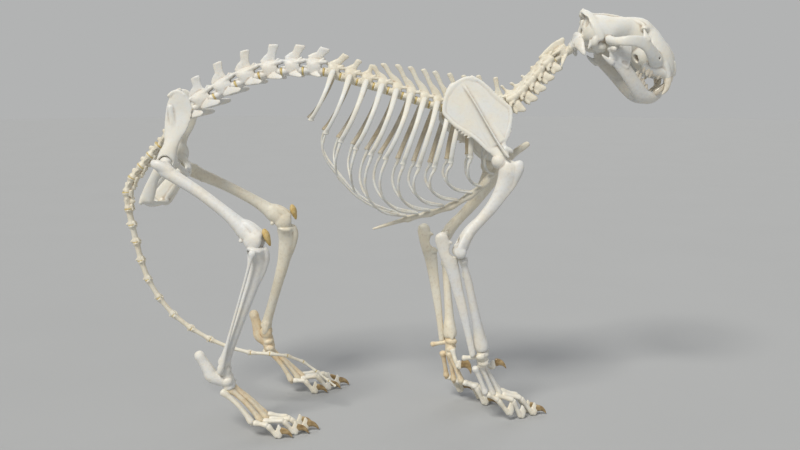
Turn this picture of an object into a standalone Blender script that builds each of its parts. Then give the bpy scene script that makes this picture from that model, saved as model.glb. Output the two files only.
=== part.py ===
"""Skeleton of a large, leopard-sized cat, mounted in a walking pose.

World frame: +X towards the head, +Y to the animal's left, +Z up, in metres. The floor is z = 0.
Bones are shaped in millimetres in frames of their own and placed between the joints named below.
"""
import math

import bmesh
import bpy
from mathutils import Matrix, Vector
from mathutils.bvhtree import BVHTree

MM = 0.001
RIGHT = -1
LEFT = 1
SIDE_NAMES = {RIGHT: "right", LEFT: "left"}
UP = Vector((0, 0, 1))
ACROSS = Vector((0, 1, 0))

# How finely the solids are faceted.
SIDES = 8
THIN_SIDES = 6
STEPS = 1
DOME = 0.45

# About how many triangles the larger solids keep.
FACE_TARGETS = {"chest": 1640, "lumbar": 1150, "neck": 830, "skull": 1500, "jaw": 620, "pelvis": 600,
                "femur": 300, "axis": 280, "sacrum": 300, "tail_1": 330, "carpus": 160, "ulna": 180}
OTHER_TARGET = 210
DIGIT_TARGET = 80

# How high above their lowest point the standing toes are cut to small flats, all at one level.
FLAT_HEIGHT = 0.8 * MM

# Gap kept between bones that meet, and how far the joints sink into each other before it is cut.
JOINT_GAP = 0.3 * MM

# Joint centres of the mounted pose, in metres.
HIP = {RIGHT: Vector((-0.456, -0.054, 0.532)), LEFT: Vector((-0.444, 0.054, 0.515))}
KNEE = {RIGHT: Vector((-0.267, -0.116, 0.388)), LEFT: Vector((-0.238, 0.090, 0.396))}
ANKLE = {RIGHT: Vector((-0.343, -0.122, 0.139)), LEFT: Vector((-0.296, 0.120, 0.146))}
HEEL = {RIGHT: Vector((-0.390, -0.124, 0.168)), LEFT: Vector((-0.323, 0.124, 0.184))}
FOOT_ROOT = {RIGHT: Vector((-0.331, -0.119, 0.097)), LEFT: Vector((-0.288, 0.122, 0.098))}
SHOULDER = {RIGHT: Vector((0.197, -0.071, 0.541)), LEFT: Vector((0.189, 0.069, 0.518))}
BLADE_TOP = {RIGHT: Vector((0.124, -0.043, 0.692)), LEFT: Vector((0.128, 0.043, 0.666))}
ELBOW = {RIGHT: Vector((0.114, -0.086, 0.360)), LEFT: Vector((0.090, 0.084, 0.352))}
WRIST = {RIGHT: Vector((0.165, -0.060, 0.156)), LEFT: Vector((0.108, 0.064, 0.146))}
PAW_ROOT = {RIGHT: Vector((0.164, -0.050, 0.122)), LEFT: Vector((0.105, 0.062, 0.112))}

RADIUS_HEAD = {RIGHT: Vector((0.122, -0.088, 0.349)), LEFT: Vector((0.093, 0.085, 0.340))}
ULNA_TOP = {RIGHT: Vector((0.076, -0.078, 0.392)), LEFT: Vector((0.046, 0.080, 0.384))}
ULNA_FOOT = {RIGHT: Vector((0.144, -0.072, 0.147)), LEFT: Vector((0.089, 0.072, 0.136))}
PISIFORM_TIP = {RIGHT: Vector((0.127, -0.066, 0.141)), LEFT: Vector((0.069, 0.070, 0.128))}

# Toes from the outer to the inner: the knuckle, the middle joint, then where the last joint stands.
FORE_TOES = {
    RIGHT: [((0.173, -0.056, 0.064), (0.199, -0.052, 0.048), (0.222, -0.046, 0.011)),
            ((0.190, -0.044, 0.057), (0.231, -0.039, 0.043), (0.248, -0.033, 0.0)),
            ((0.205, -0.032, 0.054), (0.249, -0.024, 0.042), (0.275, -0.017, 0.0)),
            ((0.203, -0.019, 0.058), (0.243, -0.009, 0.043), (0.264, -0.002, 0.0))],
    LEFT: [((0.101, 0.079, 0.054), (0.117, 0.084, 0.043), (0.130, 0.088, 0.012)),
           ((0.117, 0.069, 0.048), (0.155, 0.073, 0.038), (0.172, 0.075, 0.0)),
           ((0.133, 0.057, 0.049), (0.168, 0.058, 0.040), (0.190, 0.058, 0.0)),
           ((0.131, 0.044, 0.053), (0.163, 0.043, 0.041), (0.180, 0.042, 0.0))],
}
HIND_TOES = {
    RIGHT: [((-0.289, -0.135, 0.033), (-0.258, -0.138, 0.028), (-0.240, -0.137, 0.0)),
            ((-0.273, -0.122, 0.030), (-0.229, -0.121, 0.031), (-0.210, -0.119, 0.0)),
            ((-0.263, -0.108, 0.029), (-0.218, -0.104, 0.028), (-0.192, -0.100, 0.0)),
            ((-0.268, -0.095, 0.035), (-0.226, -0.088, 0.026), (-0.205, -0.082, 0.0))],
    LEFT: [((-0.228, 0.154, 0.030), (-0.190, 0.168, 0.034), (-0.168, 0.176, 0.0)),
           ((-0.217, 0.142, 0.029), (-0.171, 0.152, 0.035), (-0.146, 0.158, 0.0)),
           ((-0.226, 0.129, 0.029), (-0.186, 0.134, 0.035), (-0.164, 0.136, 0.0)),
           ((-0.241, 0.114, 0.031), (-0.211, 0.114, 0.031), (-0.192, 0.113, 0.0))],
}
DEWCLAW = {
    RIGHT: [(0.168, -0.036, 0.130), (0.178, -0.031, 0.116), (0.187, -0.029, 0.110), (0.195, -0.028, 0.118),
            (0.204, -0.028, 0.118), (0.210, -0.028, 0.105)],
    LEFT: [(0.112, 0.045, 0.122), (0.117, 0.038, 0.104), (0.123, 0.034, 0.090), (0.130, 0.032, 0.098),
           (0.141, 0.031, 0.095), (0.146, 0.031, 0.082)],
}

# Joints of the spine in the middle plane, as x and z: loin, chest and neck, tail end first.
LOIN_JOINTS = [
    (-0.442, 0.616), (-0.411, 0.632), (-0.366, 0.657), (-0.323, 0.681), (-0.277, 0.698),
    (-0.233, 0.706), (-0.191, 0.708), (-0.150, 0.706),
]
CHEST_JOINTS = [
    (-0.150, 0.706), (-0.1175, 0.697), (-0.0845, 0.687), (-0.0525, 0.678), (-0.024, 0.6695),
    (0.004, 0.6595), (0.031, 0.6505), (0.0575, 0.642), (0.083, 0.6355), (0.108, 0.632),
    (0.133, 0.6305), (0.1595, 0.6315), (0.187, 0.635), (0.214, 0.642),
]
NECK_JOINTS = [(0.214, 0.642), (0.236, 0.655), (0.254, 0.673), (0.270, 0.691), (0.286, 0.711), (0.304,
                                                                                                0.729)]
AXIS_ENDS = ((0.304, 0.729), (0.337, 0.750))
ATLAS_ENDS = ((0.337, 0.750), (0.358, 0.774))
SACRUM_ENDS = ((-0.480, 0.560), (-0.442, 0.616))
TAIL_WAY = [
    (-0.480, 0.562), (-0.509, 0.530), (-0.538, 0.496), (-0.550, 0.474), (-0.549, 0.440),
    (-0.543, 0.400), (-0.535, 0.360), (-0.517, 0.290), (-0.471, 0.217), (-0.397, 0.162),
    (-0.320, 0.133), (-0.247, 0.127), (-0.205, 0.114), (-0.166, 0.084),
]
STERNUM_WAY = [
    (-0.055, 0.392), (0.012, 0.412), (0.055, 0.423), (0.095, 0.435), (0.131, 0.454),
    (0.163, 0.478), (0.189, 0.507), (0.222, 0.540), (0.256, 0.565),
]

# Tips of the chest spines that lean back, as x and z, from the tenth vertebra to the first.
SPINE_TIPS = [(-0.054, 0.720), (-0.033, 0.723), (-0.005, 0.721), (0.020, 0.717), (0.046, 0.712),
              (0.068, 0.708), (0.097, 0.704), (0.125, 0.700), (0.154, 0.700), (0.188, 0.696)]

CHEST_COUNT = 13
TAIL_LENGTHS = [0.027, 0.029, 0.030, 0.033, 0.034, 0.033, 0.036, 0.039, 0.042, 0.044, 0.046,
                0.046, 0.045, 0.045, 0.043, 0.040, 0.037, 0.035, 0.033, 0.033, 0.020]
TAIL_GROUPS = [(0, 5), (5, 10), (10, 15), (15, 21)]

BONE_COLOUR = (0.80, 0.77, 0.68, 1.0)
CLAW_TOE_COLOUR = (0.78, 0.68, 0.52, 1.0)


class Frame:
    """Three directions at right angles and an origin, for shaping a bone in millimetres."""

    def __init__(self, origin, x_axis, y_axis, z_axis):
        self.origin = Vector(origin)
        self.axes = (Vector(x_axis), Vector(y_axis), Vector(z_axis))

    def turn(self, x, y, z):
        """A direction or offset given along the frame's own axes."""
        return self.axes[0] * x + self.axes[1] * y + self.axes[2] * z

    def at(self, x, y, z):
        """The world place of a point given in millimetres."""
        return self.origin + self.turn(x, y, z) * MM


def limb_frame(upper, lower, side):
    """A limb bone's frame: x runs down the bone, y faces forwards and z faces outwards."""
    along = (lower - upper).normalized()
    out = ACROSS * side
    out = (out - along * out.dot(along)).normalized()
    return Frame(upper, along, along.cross(out) * side, out)


def spine_frame(place, tangent):
    """A vertebra's frame: x runs towards the head, y to the left and z to the back."""
    along = tangent.normalized()
    return Frame(place, along, ACROSS, along.cross(ACROSS))


def refined(rows, steps):
    """Adds rows between the given ones, on a smooth curve through them."""
    if steps < 2 or len(rows) < 3:
        return rows
    out = []
    for i in range(len(rows) - 1):
        before, start = rows[max(i - 1, 0)], rows[i]
        end, after = rows[i + 1], rows[min(i + 2, len(rows) - 1)]
        for k in range(steps):
            t = k / steps
            out.append([
                0.5 * (2 * b + (c - a) * t + (2 * a - 5 * b + 4 * c - d) * t * t
                       + (3 * b - a - 3 * c + d) * t ** 3)
                for a, b, c, d in zip(before, start, end, after)
            ])
    out.append(rows[-1])
    return out


def signed_volume(points, faces):
    """Six times the volume inside the faces, below zero where they point inwards."""
    total = 0.0
    for face in faces:
        first = points[face[0]]
        for second, third in zip(face[1:-1], face[2:]):
            total += first.dot(points[second].cross(points[third]))
    return total


def strand(rows, wide, sides=SIDES, steps=STEPS, dome=DOME):
    """A closed tapering bar.

    Each row is x, y, z of its middle in world metres, then half its size along `wide` and half its
    size across that, both in metres.
    """
    rows = [[*row[0], *row[1:]] if isinstance(row[0], Vector) else list(row) for row in rows]
    rows = refined(rows, steps)
    centres = [Vector(row[:3]) for row in rows]
    points, faces = [], []
    last = len(rows) - 1
    for i, row in enumerate(rows):
        tangent = (centres[min(i + 1, last)] - centres[max(i - 1, 0)]).normalized()
        across = (wide - tangent * wide.dot(tangent)).normalized()
        other = tangent.cross(across)
        half_wide, half_thick = max(row[3], 0.0002), max(row[4], 0.0002)
        for k in range(sides):
            angle = 2 * math.pi * (k + 0.5) / sides
            points.append(centres[i] + across * (half_wide * math.cos(angle))
                          + other * (half_thick * math.sin(angle)))
        if i:
            low, high = (i - 1) * sides, i * sides
            faces += [(low + k, low + (k + 1) % sides, high + (k + 1) % sides, high + k)
                      for k in range(sides)]
    for i, step in ((0, -1), (last, 1)):
        near = centres[max(i - 1, 0)] if i else centres[1]
        outward = (centres[i] - near).normalized()
        apex = len(points)
        points.append(centres[i] + outward * (dome * min(rows[i][3], rows[i][4])))
        ring = [i * sides + k for k in range(sides)]
        faces += [(apex, ring[(k + 1) % sides], ring[k]) if step < 0
                  else (apex, ring[k], ring[(k + 1) % sides]) for k in range(sides)]
    if signed_volume(points, faces) < 0:
        faces = [tuple(reversed(face)) for face in faces]
    return points, faces


def bar(frame, rows, wide, **options):
    """A strand whose rows and widths are in millimetres in the frame, `wide` along its axes."""
    placed = [(frame.at(*row[:3]), row[3] * MM, row[4] * MM) for row in rows]
    return strand(placed, frame.turn(*wide), **options)


def knob(frame, centre, radii, rings=3, sides=SIDES):
    """An egg-shaped lump, with its centre and its three radii in millimetres in the frame."""
    rows = []
    for i in range(rings + 2):
        angle = math.pi * (i + 0.35) / (rings + 1.7)
        size = math.sin(angle)
        rows.append((centre[0] - radii[0] * math.cos(angle), centre[1], centre[2],
                     radii[1] * size, radii[2] * size))
    return bar(frame, rows, (0, 1, 0), sides=sides, dome=0.2)


def mirrored(rows):
    """The same rows on the other side of the middle plane."""
    return [(row[0], -row[1], *row[2:]) for row in rows]


def both(frame, rows, wide, **options):
    """A bar and its mirror image in the frame's middle plane."""
    other = (wide[0], -wide[1], wide[2])
    return [bar(frame, rows, wide, **options), bar(frame, mirrored(rows), other, **options)]


class Way:
    """A smooth line through points in the middle plane, measured by its own length."""

    def __init__(self, points):
        rows = refined([[x, 0.0, z] for x, z in points], 8)
        self.points = [Vector(row) for row in rows]
        self.lengths = [0.0]
        for first, second in zip(self.points, self.points[1:]):
            self.lengths.append(self.lengths[-1] + (second - first).length)

    def at(self, distance):
        """The place and the direction of the line at a distance along it."""
        i = 1
        while i < len(self.lengths) - 1 and self.lengths[i] < distance:
            i += 1
        start, end = self.points[i - 1], self.points[i]
        share = (distance - self.lengths[i - 1]) / (self.lengths[i] - self.lengths[i - 1])
        return start.lerp(end, share), (end - start).normalized()


def eased(values, share):
    """A value between two, by share from 0 to 1."""
    return values[0] + (values[1] - values[0]) * share


def vertebra(frame, length, body, arch, spine, wings=None, detail=1):
    """One vertebra, in millimetres.

    Args:
        body: half width and half height of its round body.
        arch: height of the arch's middle above the body's, and its half width.
        spine: height of its tip, how far that leans forwards, half length at root and at tip.
        wings: reach sideways, forwards and down, and half length at root and tip, or None.
        detail: 1 for a waisted body and two pairs of joint prongs, 0 for a plain one.
    """
    half = length / 2
    wide, high = body
    rise, arch_half = arch
    tip, lean, root_half, tip_half = spine
    rows = [(-half, 0, 0, wide, high), (half, 0, 0, wide, high)]
    if detail:
        rows[1:1] = [(place * half, 0, 0, wide * 0.84, high * 0.84) for place in (-0.45, 0.45)]
    parts = [bar(frame, rows, (0, 1, 0), dome=0)]
    parts.append(bar(frame, [(0, 0, -1, length * 0.27, arch_half * 0.95), (0, 0, rise + high * 0.45,
                     length * 0.33, arch_half * 0.8)], (1, 0, 0), dome=0.1))
    parts.append(bar(frame, [(-1, 0, rise, root_half, 3.0),
                             (lean * 0.5, 0, (rise + tip) / 2, (root_half + tip_half) / 2, 1.8),
                             (lean, 0, tip, tip_half + 0.3, 2.1)], (1, 0, 0), sides=THIN_SIDES))
    reach = arch_half * 0.74
    if detail:
        parts += both(frame, [(half * 0.2, reach, rise, 3.8, 3.2), (half + 4, reach, rise + 1.5, 3.0, 2.6)],
                      (0, 1, 0), sides=THIN_SIDES)
        parts += both(frame, [(-half * 0.2, reach * 0.8, rise + 2, 3.8, 3.2),
                              (-half - 3.5, reach * 0.8, rise + 4, 2.8, 2.4)], (0, 1, 0), sides=THIN_SIDES)
    else:
        rows = [(-half - 2, reach * 0.8, rise + 2, 2.8, 2.6), (half + 2, reach * 0.8, rise, 3.0, 2.8)]
        parts += both(frame, rows, (0, 1, 0), sides=THIN_SIDES)
    if wings:
        out, forward, down, wing_root, wing_tip = wings
        rows = [(0, wide * 0.5, -1, wing_root, 2.4),
                (forward * 0.65, wide * 0.5 + out * 0.75, -1 - down * 0.65, wing_tip, 1.5),
                (forward, wide * 0.5 + out, -1 - down, wing_tip * 0.45, 1.1)]
        if not detail:
            rows[1:2] = []
        parts += both(frame, rows, (1, 0, 0), sides=THIN_SIDES)
    return parts


TAIL = Way(TAIL_WAY)


def between(low, high, back=0.3, front=0.3):
    """The frame half way between two joints of the spine, and its length in millimetres."""
    low, high = Vector((low[0], 0, low[1])), Vector((high[0], 0, high[1]))
    along = (high - low).normalized()
    low, high = low + along * back * MM, high - along * front * MM
    return spine_frame((low + high) / 2, along), (high - low).length / MM


def spine_row(joints, make):
    """Vertebrae one behind the other, with a disc of cartilage between each two.

    Args:
        make: called with the frame, the length in millimetres and the place in the row.
    """
    parts, last = [], len(joints) - 2
    for i in range(last + 1):
        frame, length = between(joints[i], joints[i + 1], 0.8 if i else 0.2, 0.8 if i < last else 0.2)
        shapes, body = make(frame, length, i / last, i)
        parts += shapes
        if i < last:
            centre = frame.at(length / 2 + 0.8, 0, 0)
            gap = Frame(centre, *frame.axes)
            disc = [(place, 0, 0, body[0] * 0.8, body[1] * 0.8) for place in (-4, 4)]
            parts.append(bar(gap, disc, (0, 1, 0), sides=THIN_SIDES, dome=0))
    return parts


def loin():
    """The seven loin vertebrae, with long side blades that point forwards and down."""
    def make(frame, length, share, index):
        body = (eased((12.5, 11.0), share), eased((9.5, 8.5), share))
        reach = eased((50, 16), max(share * 1.25 - 0.25, 0))
        tip = 50 + 7 * math.sin(math.pi * min(share * 1.1, 1)) - 12 * max(share - 0.7, 0)
        lean = eased((9, 22), share)
        wings = (reach, eased((38, 13), share), eased((21, 10), share), eased((10, 7), share),
                 eased((7, 4), share))
        return vertebra(frame, length, body, (18, 9.5), (tip, lean, length * 0.32, 9.5), wings), body
    return spine_row(LOIN_JOINTS, make)


def chest_spine():
    """The thirteen chest vertebrae: the last three lean forwards, the others back."""
    def make(frame, length, share, index):
        body = (eased((10.5, 11.0), share), eased((8.5, 7.5), share))
        if index < 3:
            spine = (44 - 2 * index, 17 - 7 * index, length * 0.28, 7 - index)
        else:
            tip = Vector((SPINE_TIPS[index - 3][0], 0, SPINE_TIPS[index - 3][1])) - frame.origin
            spine = (tip.dot(frame.axes[2]) / MM, tip.dot(frame.axes[0]) / MM, 8.0, 5.0)
        return vertebra(frame, length, body, (15, 8.5), spine, (9, 0, -6, 5, 4), detail=0), body
    return spine_row(CHEST_JOINTS, make)


def neck():
    """The five neck vertebrae behind the axis, with side plates that hang down and forwards."""
    def make(frame, length, share, index):
        body = (eased((11.0, 9.5), share), eased((8.0, 7.5), share))
        tip = eased((37, 18), min(share * 1.6, 1))
        wings = (15, eased((12, 8), share), eased((31, 24), share), 9.5, 9.5)
        spine = (tip, eased((3, 1), share), 6, 3.4)
        return vertebra(frame, length, body, (15, 14), spine, wings), body
    return spine_row(NECK_JOINTS, make)


# Rib ends in the side view: where each rib meets its cartilage, from the first rib to the last.
RIB_END = [
    (0.196, 0.583), (0.170, 0.556), (0.138, 0.541), (0.099, 0.531), (0.067, 0.523), (0.036, 0.525),
    (0.006, 0.530), (-0.028, 0.540), (-0.056, 0.548), (-0.085, 0.559), (-0.114, 0.573),
    (-0.143, 0.589), (-0.172, 0.614),
]
RIB_HALF_WIDTH = [0.031, 0.038, 0.045, 0.053, 0.061, 0.070, 0.074, 0.077, 0.079, 0.079, 0.077, 0.072, 0.062]
# Where the cartilages of ribs 1 to 9 reach the breastbone, and the bend of the arch behind them.
CARTILAGE_END = [
    (0.212, 0.533), (0.187, 0.505), (0.163, 0.480), (0.144, 0.467), (0.116, 0.451), (0.088, 0.440),
    (0.060, 0.430), (0.035, 0.425), (0.012, 0.419),
]
# The far side's rear ribs stand a little further back than the near side's.
LEFT_RIB_SHIFT = -0.013
ARCH_WAY = [(-0.143, 0.589), (-0.150, 0.560), (-0.140, 0.531), (-0.123, 0.508), (-0.098, 0.474),
            (-0.067, 0.450), (-0.036, 0.433), (-0.004, 0.424)]


def rib_head(number):
    """The place on the spine's side where a rib starts, number 1 nearest the neck."""
    index = CHEST_COUNT - number
    return between(CHEST_JOINTS[index], CHEST_JOINTS[index + 1])[0]


def rib_end(number, side):
    """Where a rib meets its cartilage."""
    x, z = RIB_END[number - 1]
    if side == LEFT:
        x += LEFT_RIB_SHIFT * min(max((number - 3) / 5, 0), 1)
    return Vector((x, side * RIB_HALF_WIDTH[number - 1] * 0.86, z))


def rib(number, side):
    """One rib from its vertebra to its cartilage."""
    frame = rib_head(number)
    wide = RIB_HALF_WIDTH[number - 1]
    end = rib_end(number, side)
    head = frame.at(2, side * 7, 3)
    knee = frame.at(1, side * 24, 10 - 0.7 * number)
    thick = 4.5 if number < 12 else 3.8
    rows = [(head, 5.0 * MM, 3.6 * MM), (knee, 5.8 * MM, 3.8 * MM)]
    for share, out in ((0.30, 0.88), (0.62, 1.0), (0.86, 0.95)):
        middle = knee.lerp(end, share)
        middle.y = side * wide * out
        bow = (-0.003 if number < 5 else 0.005 if number > 7 else 0) * math.sin(math.pi * share)
        rows.append((middle + Vector((bow, 0, 0)), (thick + 0.6) * MM, (thick - 1.4) * MM))
    rows.append((end, 5.8 * MM, 3.6 * MM))
    return strand(rows, Vector((1, 0, 0)), sides=THIN_SIDES)


def cartilage(number, side):
    """The curved cartilage from a rib's end forwards to the breastbone."""
    start = rib_end(number, side) + UP * 0.004
    goal_x, goal_z = CARTILAGE_END[number - 1]
    goal = Vector((goal_x, side * 0.006, goal_z))
    across, drop = goal.x - start.x, start.z - goal.z
    rows = [(start, 3.6 * MM, 3.0 * MM)]
    for forward, down, out in ((-0.14, 0.26, 0.98), (-0.17, 0.5, 0.88), (0.0, 0.74, 0.68), (0.4, 0.93,
                                                                                            0.36)):
        place = Vector((start.x + across * forward, start.y * out, start.z - drop * down))
        rows.append((place, 2.5 * MM, 2.2 * MM))
    rows.append((goal, 2.5 * MM, 2.2 * MM))
    return strand(rows, Vector((1, 0, 0)), sides=THIN_SIDES)


def arch_point(share, side):
    """A place on the cartilage arch of the last ribs."""
    place, _ = Way(ARCH_WAY).at(Way(ARCH_WAY).lengths[-1] * share)
    half = eased((RIB_HALF_WIDTH[11] * 0.86, 0.014), min(max(share - 0.05, 0) * 1.15, 1) ** 1.2)
    shift = LEFT_RIB_SHIFT * (1 - share) if side == LEFT else 0
    return Vector((place.x + shift, side * half, place.z))


def chest_half(side):
    """One side's ribs and cartilages, with the whole chest spine that is cut down the middle."""
    parts = chest_spine()
    parts += [rib(number, side) for number in range(1, CHEST_COUNT + 1)]
    parts += [cartilage(number, side) for number in range(1, 10)]
    arch = [(arch_point(share, side), 2.3 * MM, 2.2 * MM) for share in (0, 0.12, 0.25, 0.4, 0.6, 0.8, 1)]
    parts.append(strand(arch, ACROSS, sides=THIN_SIDES))
    for number, low, high in ((11, 0.42, 0.47), (10, 0.6, 0.66)):
        start = rib_end(number, side) + UP * 0.004
        goal = arch_point(high, side)
        first = Vector((start.x - 0.010, start.y * 0.97, start.z - (start.z - goal.z) * 0.4))
        second = start.lerp(goal, 0.8) + Vector((-0.012, 0, 0))
        rows = [(start, 3.4 * MM, 3.0 * MM), (first, 2.5 * MM, 2.2 * MM), (second, 2.3 * MM, 2.1 * MM),
                (goal, 2.3 * MM, 2.1 * MM)]
        parts.append(strand(rows, Vector((1, 0, 0)), sides=THIN_SIDES))
    return parts


def sternum():
    """The breastbone's eight pieces in one line, ending in a thin blade behind."""
    way = Way(STERNUM_WAY)
    total = way.lengths[-1]
    rows = []
    for share, high, wide in ((0, 1.2, 1.5), (0.06, 2.0, 2.6), (0.17, 3.0, 3.4), (0.21, 4.6, 5.2),
                              (0.26, 3.6, 4.0), (0.33, 5.0, 5.4), (0.39, 3.8, 4.0), (0.46, 5.2, 5.6),
                              (0.52, 4.0, 4.0), (0.58, 5.4, 5.4), (0.64, 4.2, 4.0), (0.69, 5.4, 5.2),
                              (0.76, 4.4, 3.8), (0.82, 5.6, 4.6), (0.90, 5.0, 3.6), (1.0, 3.4, 2.8)):
        rows.append((way.at(total * share)[0], wide * MM, high * MM))
    return [strand(rows, ACROSS)]


def axis():
    """The second neck vertebra, with its tall blade that reaches forwards and back."""
    frame, length = between(*AXIS_ENDS)
    half = length / 2
    parts = [bar(frame, [(-half, 0, 0, 10, 7.5), (-half * 0.3, 0, 0, 8.5, 6.5), (half * 0.5, 0, 1, 11, 8),
                         (half, 0, 1, 14, 8.5)], (0, 1, 0), dome=0)]
    parts.append(bar(frame, [(0, 0, 0, 11, 11), (0, 0, 15, 13, 10)], (1, 0, 0), dome=0.1))
    parts.append(bar(frame, [(-41, 0, 12, 2.6, 2.6), (-22, 0, 20, 6.5, 2.4), (-5, 0, 24, 10, 2.0),
                             (9, 0, 28, 8.5, 2.0), (16, 0, 31, 4.5, 1.8)], (0, 0, 1), sides=THIN_SIDES))
    parts += both(frame, [(-half * 0.2, 9, 11, 4, 3.4), (-half - 4, 11, 12, 3, 2.6)], (0, 1, 0),
                  sides=THIN_SIDES)
    parts += both(frame, [(0, 7, -1, 6, 2.6), (-10, 17, -9, 4.5, 1.8), (-15, 20, -12, 2, 1.2)], (1, 0, 0),
                  sides=THIN_SIDES)
    return parts


def atlas():
    """The first neck vertebra: a ring with a broad wing on each side."""
    frame, length = between(*ATLAS_ENDS)
    half = length / 2
    parts = [bar(frame, [(-half, 0, 2, 17, 10), (half * 0.6, 0, 4, 20, 13), (half, 0, 5, 18, 12)],
                 (0, 1, 0), dome=0)]
    parts += both(frame, [(0, 12, 6, 15, 5), (-2, 24, 1, 17, 3.0), (-9, 35, -7, 16, 2.4), (-15, 41, -13, 9,
                                                                                           1.8)],
                  (1, 0, 0.15), sides=THIN_SIDES)
    return parts


def sacrum():
    """The three joined vertebrae between the hip bones, with broad wings at the front."""
    frame, length = between(*SACRUM_ENDS)
    half = length / 2
    parts = [bar(frame, [(-half, 0, 0, 9, 6), (0, 0, 0, 11, 7), (half, 0, 0, 13, 9)], (0, 1, 0), dome=0)]
    parts += both(frame, [(half * 0.45, 6, 0, 13, 8), (half * 0.4, 24, -2, 14, 9)], (1, 0, 0), dome=0.1)
    parts += both(frame, [(-half * 0.25, 5, 1, 13, 4.5), (-half * 0.5, 16, -1, 12, 3)], (1, 0, 0),
                  sides=THIN_SIDES)
    for place, tip in ((half * 0.5, 11), (0, 11), (-half * 0.6, 10.5)):
        rows = [(place, 0, 1, 9.3, 4.6), (place - 2, 0, tip - 5, 6.5, 2.4), (place - 3, 0, tip, 5, 2.6)]
        parts.append(bar(frame, rows, (1, 0, 0), sides=THIN_SIDES))
    return parts


def tail(first, last):
    """A length of the tail, from one vertebra to before another, counted from the hips."""
    parts = []
    starts = [0.001]
    for length in TAIL_LENGTHS:
        starts.append(starts[-1] + length)
    for i in range(first, last):
        low = starts[i] + (0.0002 if i == first else 0.0007)
        high = starts[i + 1] - (0.0002 if i == last - 1 else 0.0007)
        start, end = TAIL.at(low)[0], TAIL.at(high)[0]
        frame = spine_frame((start + end) / 2, end - start)
        half = (high - low) / MM / 2
        share = i / (len(TAIL_LENGTHS) - 1)
        wide, waist = eased((11.5, 3.2), share), eased((7.5, 2.1), share)
        parts.append(bar(frame, [(-half, 0, 0, wide, wide * 0.9), (-half * 0.5, 0, 0, waist, waist * 0.9),
                                 (half * 0.55, 0, 0, waist, waist * 0.9), (half, 0, 0, wide * 0.92,
                                                                           wide * 0.84)],
                         (0, 1, 0), sides=THIN_SIDES, dome=0.1))
        if i < 5:
            reach = 16 - 2 * i
            parts += both(frame, [(0, 3, 0, 7, 2), (-3, reach, 0, 4, 1.4)], (1, 0, 0), sides=THIN_SIDES)
            rows = [(0, 0, -2, 8, 4.5), (2, 0, -13 + 1.5 * i, 5, 2.5)]
            parts.append(bar(frame, rows, (1, 0, 0), sides=THIN_SIDES))
        if i < last - 1:
            gap = Frame(TAIL.at(starts[i + 1])[0], *frame.axes)
            parts.append(bar(gap, [(-3.5, 0, 0, wide * 0.6, wide * 0.55), (3.5, 0, 0, wide * 0.6,
                                                                           wide * 0.55)],
                             (0, 1, 0), sides=THIN_SIDES, dome=0))
    return parts


# How far back the far hip bone's wing stands from the near one's, in millimetres.
LEFT_HIP_SHIFT = -7


def pelvis():
    """Both hip bones, joined under the tail."""
    parts = []
    world = Frame((0, 0, 0), (1, 0, 0), (0, 1, 0), (0, 0, 1))
    for side in (RIGHT, LEFT):
        wing = [(-431, 40, 663, 12, 3.0), (-428, 41, 650, 23, 2.6), (-429, 42, 628, 27, 2.6),
                (-434, 45, 604, 24, 3.2), (-441, 48, 581, 17, 5.0), (-446, 50, 562, 15, 8.5),
                (-452, 50, 540, 19, 11.0), (-464, 50, 522, 14, 8.5), (-481, 48, 502, 8.5, 5.5),
                (-494, 44, 478, 9.5, 6.0), (-503, 40, 456, 12, 7.0)]
        rows = [(x + (LEFT_HIP_SHIFT if side == LEFT and z > 550 else 0), side * y, z, wide, thick)
                for x, y, z, wide, thick in wing]
        parts.append(bar(world, rows, (1, 0, 0.25)))
        shape = [(-452, 46, 541, 9, 8), (-436, 34, 524, 8, 5.5), (-429, 17, 512, 8, 4.5), (-431, 1.5, 506,
                                                                                           12, 5)]
        parts.append(bar(world, [(x, side * y, z, wide, thick) for x, y, z, wide, thick in shape], (1, 0,
                                                                                                    -0.6),
                         sides=THIN_SIDES))
        shape = [(-503, 40, 457, 10, 6.5), (-494, 25, 447, 10, 4.5), (-482, 9, 446, 13, 4.5), (-472, 1, 452,
                                                                                               14, 5)]
        parts.append(bar(world, [(x, side * y, z, wide, thick) for x, y, z, wide, thick in shape], (1, 0,
                                                                                                    0.4),
                         sides=THIN_SIDES))
    parts.append(bar(world, [(-423, 0, 515, 6, 4.5), (-450, 0, 480, 7, 5), (-476, 0, 447, 8, 4)], (0, 1,
                                                                                                   0)))
    return parts


def scapula(side):
    """A shoulder blade: a broad thin plate with a ridge down its outer face."""
    up = (BLADE_TOP[side] - SHOULDER[side]).normalized()
    out = ACROSS * side
    out = (out - up * out.dot(up)).normalized()
    frame = Frame(SHOULDER[side], up, out.cross(up) * side, out)
    plate = [(6, -14, 15, 8.0), (16, -15, 19, 5.5), (33, -22, 25, 2.6), (57, -31, 47, 2.0), (80, -44, 57,
                                                                                             1.7),
             (97, -55, 50, 1.7), (119, -63, 40, 1.8), (132, -64, 37, 1.8), (152, -50, 28, 2.0), (169, -30,
                                                                                                 16, 2.2)]
    rows = [(a, (low + high) / 2, 0, (high - low) / 2, thick) for a, low, high, thick in plate]
    parts = [bar(frame, rows, (0, 1, 0))]
    ridge = [(160, -5, 1, 2.0, 1.4), (120, -2, 7, 7, 1.5), (80, 1, 10, 9.5, 1.6), (40, 4, 12, 10, 1.7),
             (15, 7, 15, 7, 2.4), (-1, 10, 17, 4.5, 2.6)]
    parts.append(bar(frame, ridge, (0, 0, 1), sides=THIN_SIDES))
    parts.append(bar(frame, [(14, 14, 0, 5, 6), (7, 21, -2, 4.5, 4.5)], (0, 1, 0), sides=THIN_SIDES))
    return parts


# How strongly each upper arm bows forwards.
UPPER_ARM_BOW = {RIGHT: 1.0, LEFT: 0.6}


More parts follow.
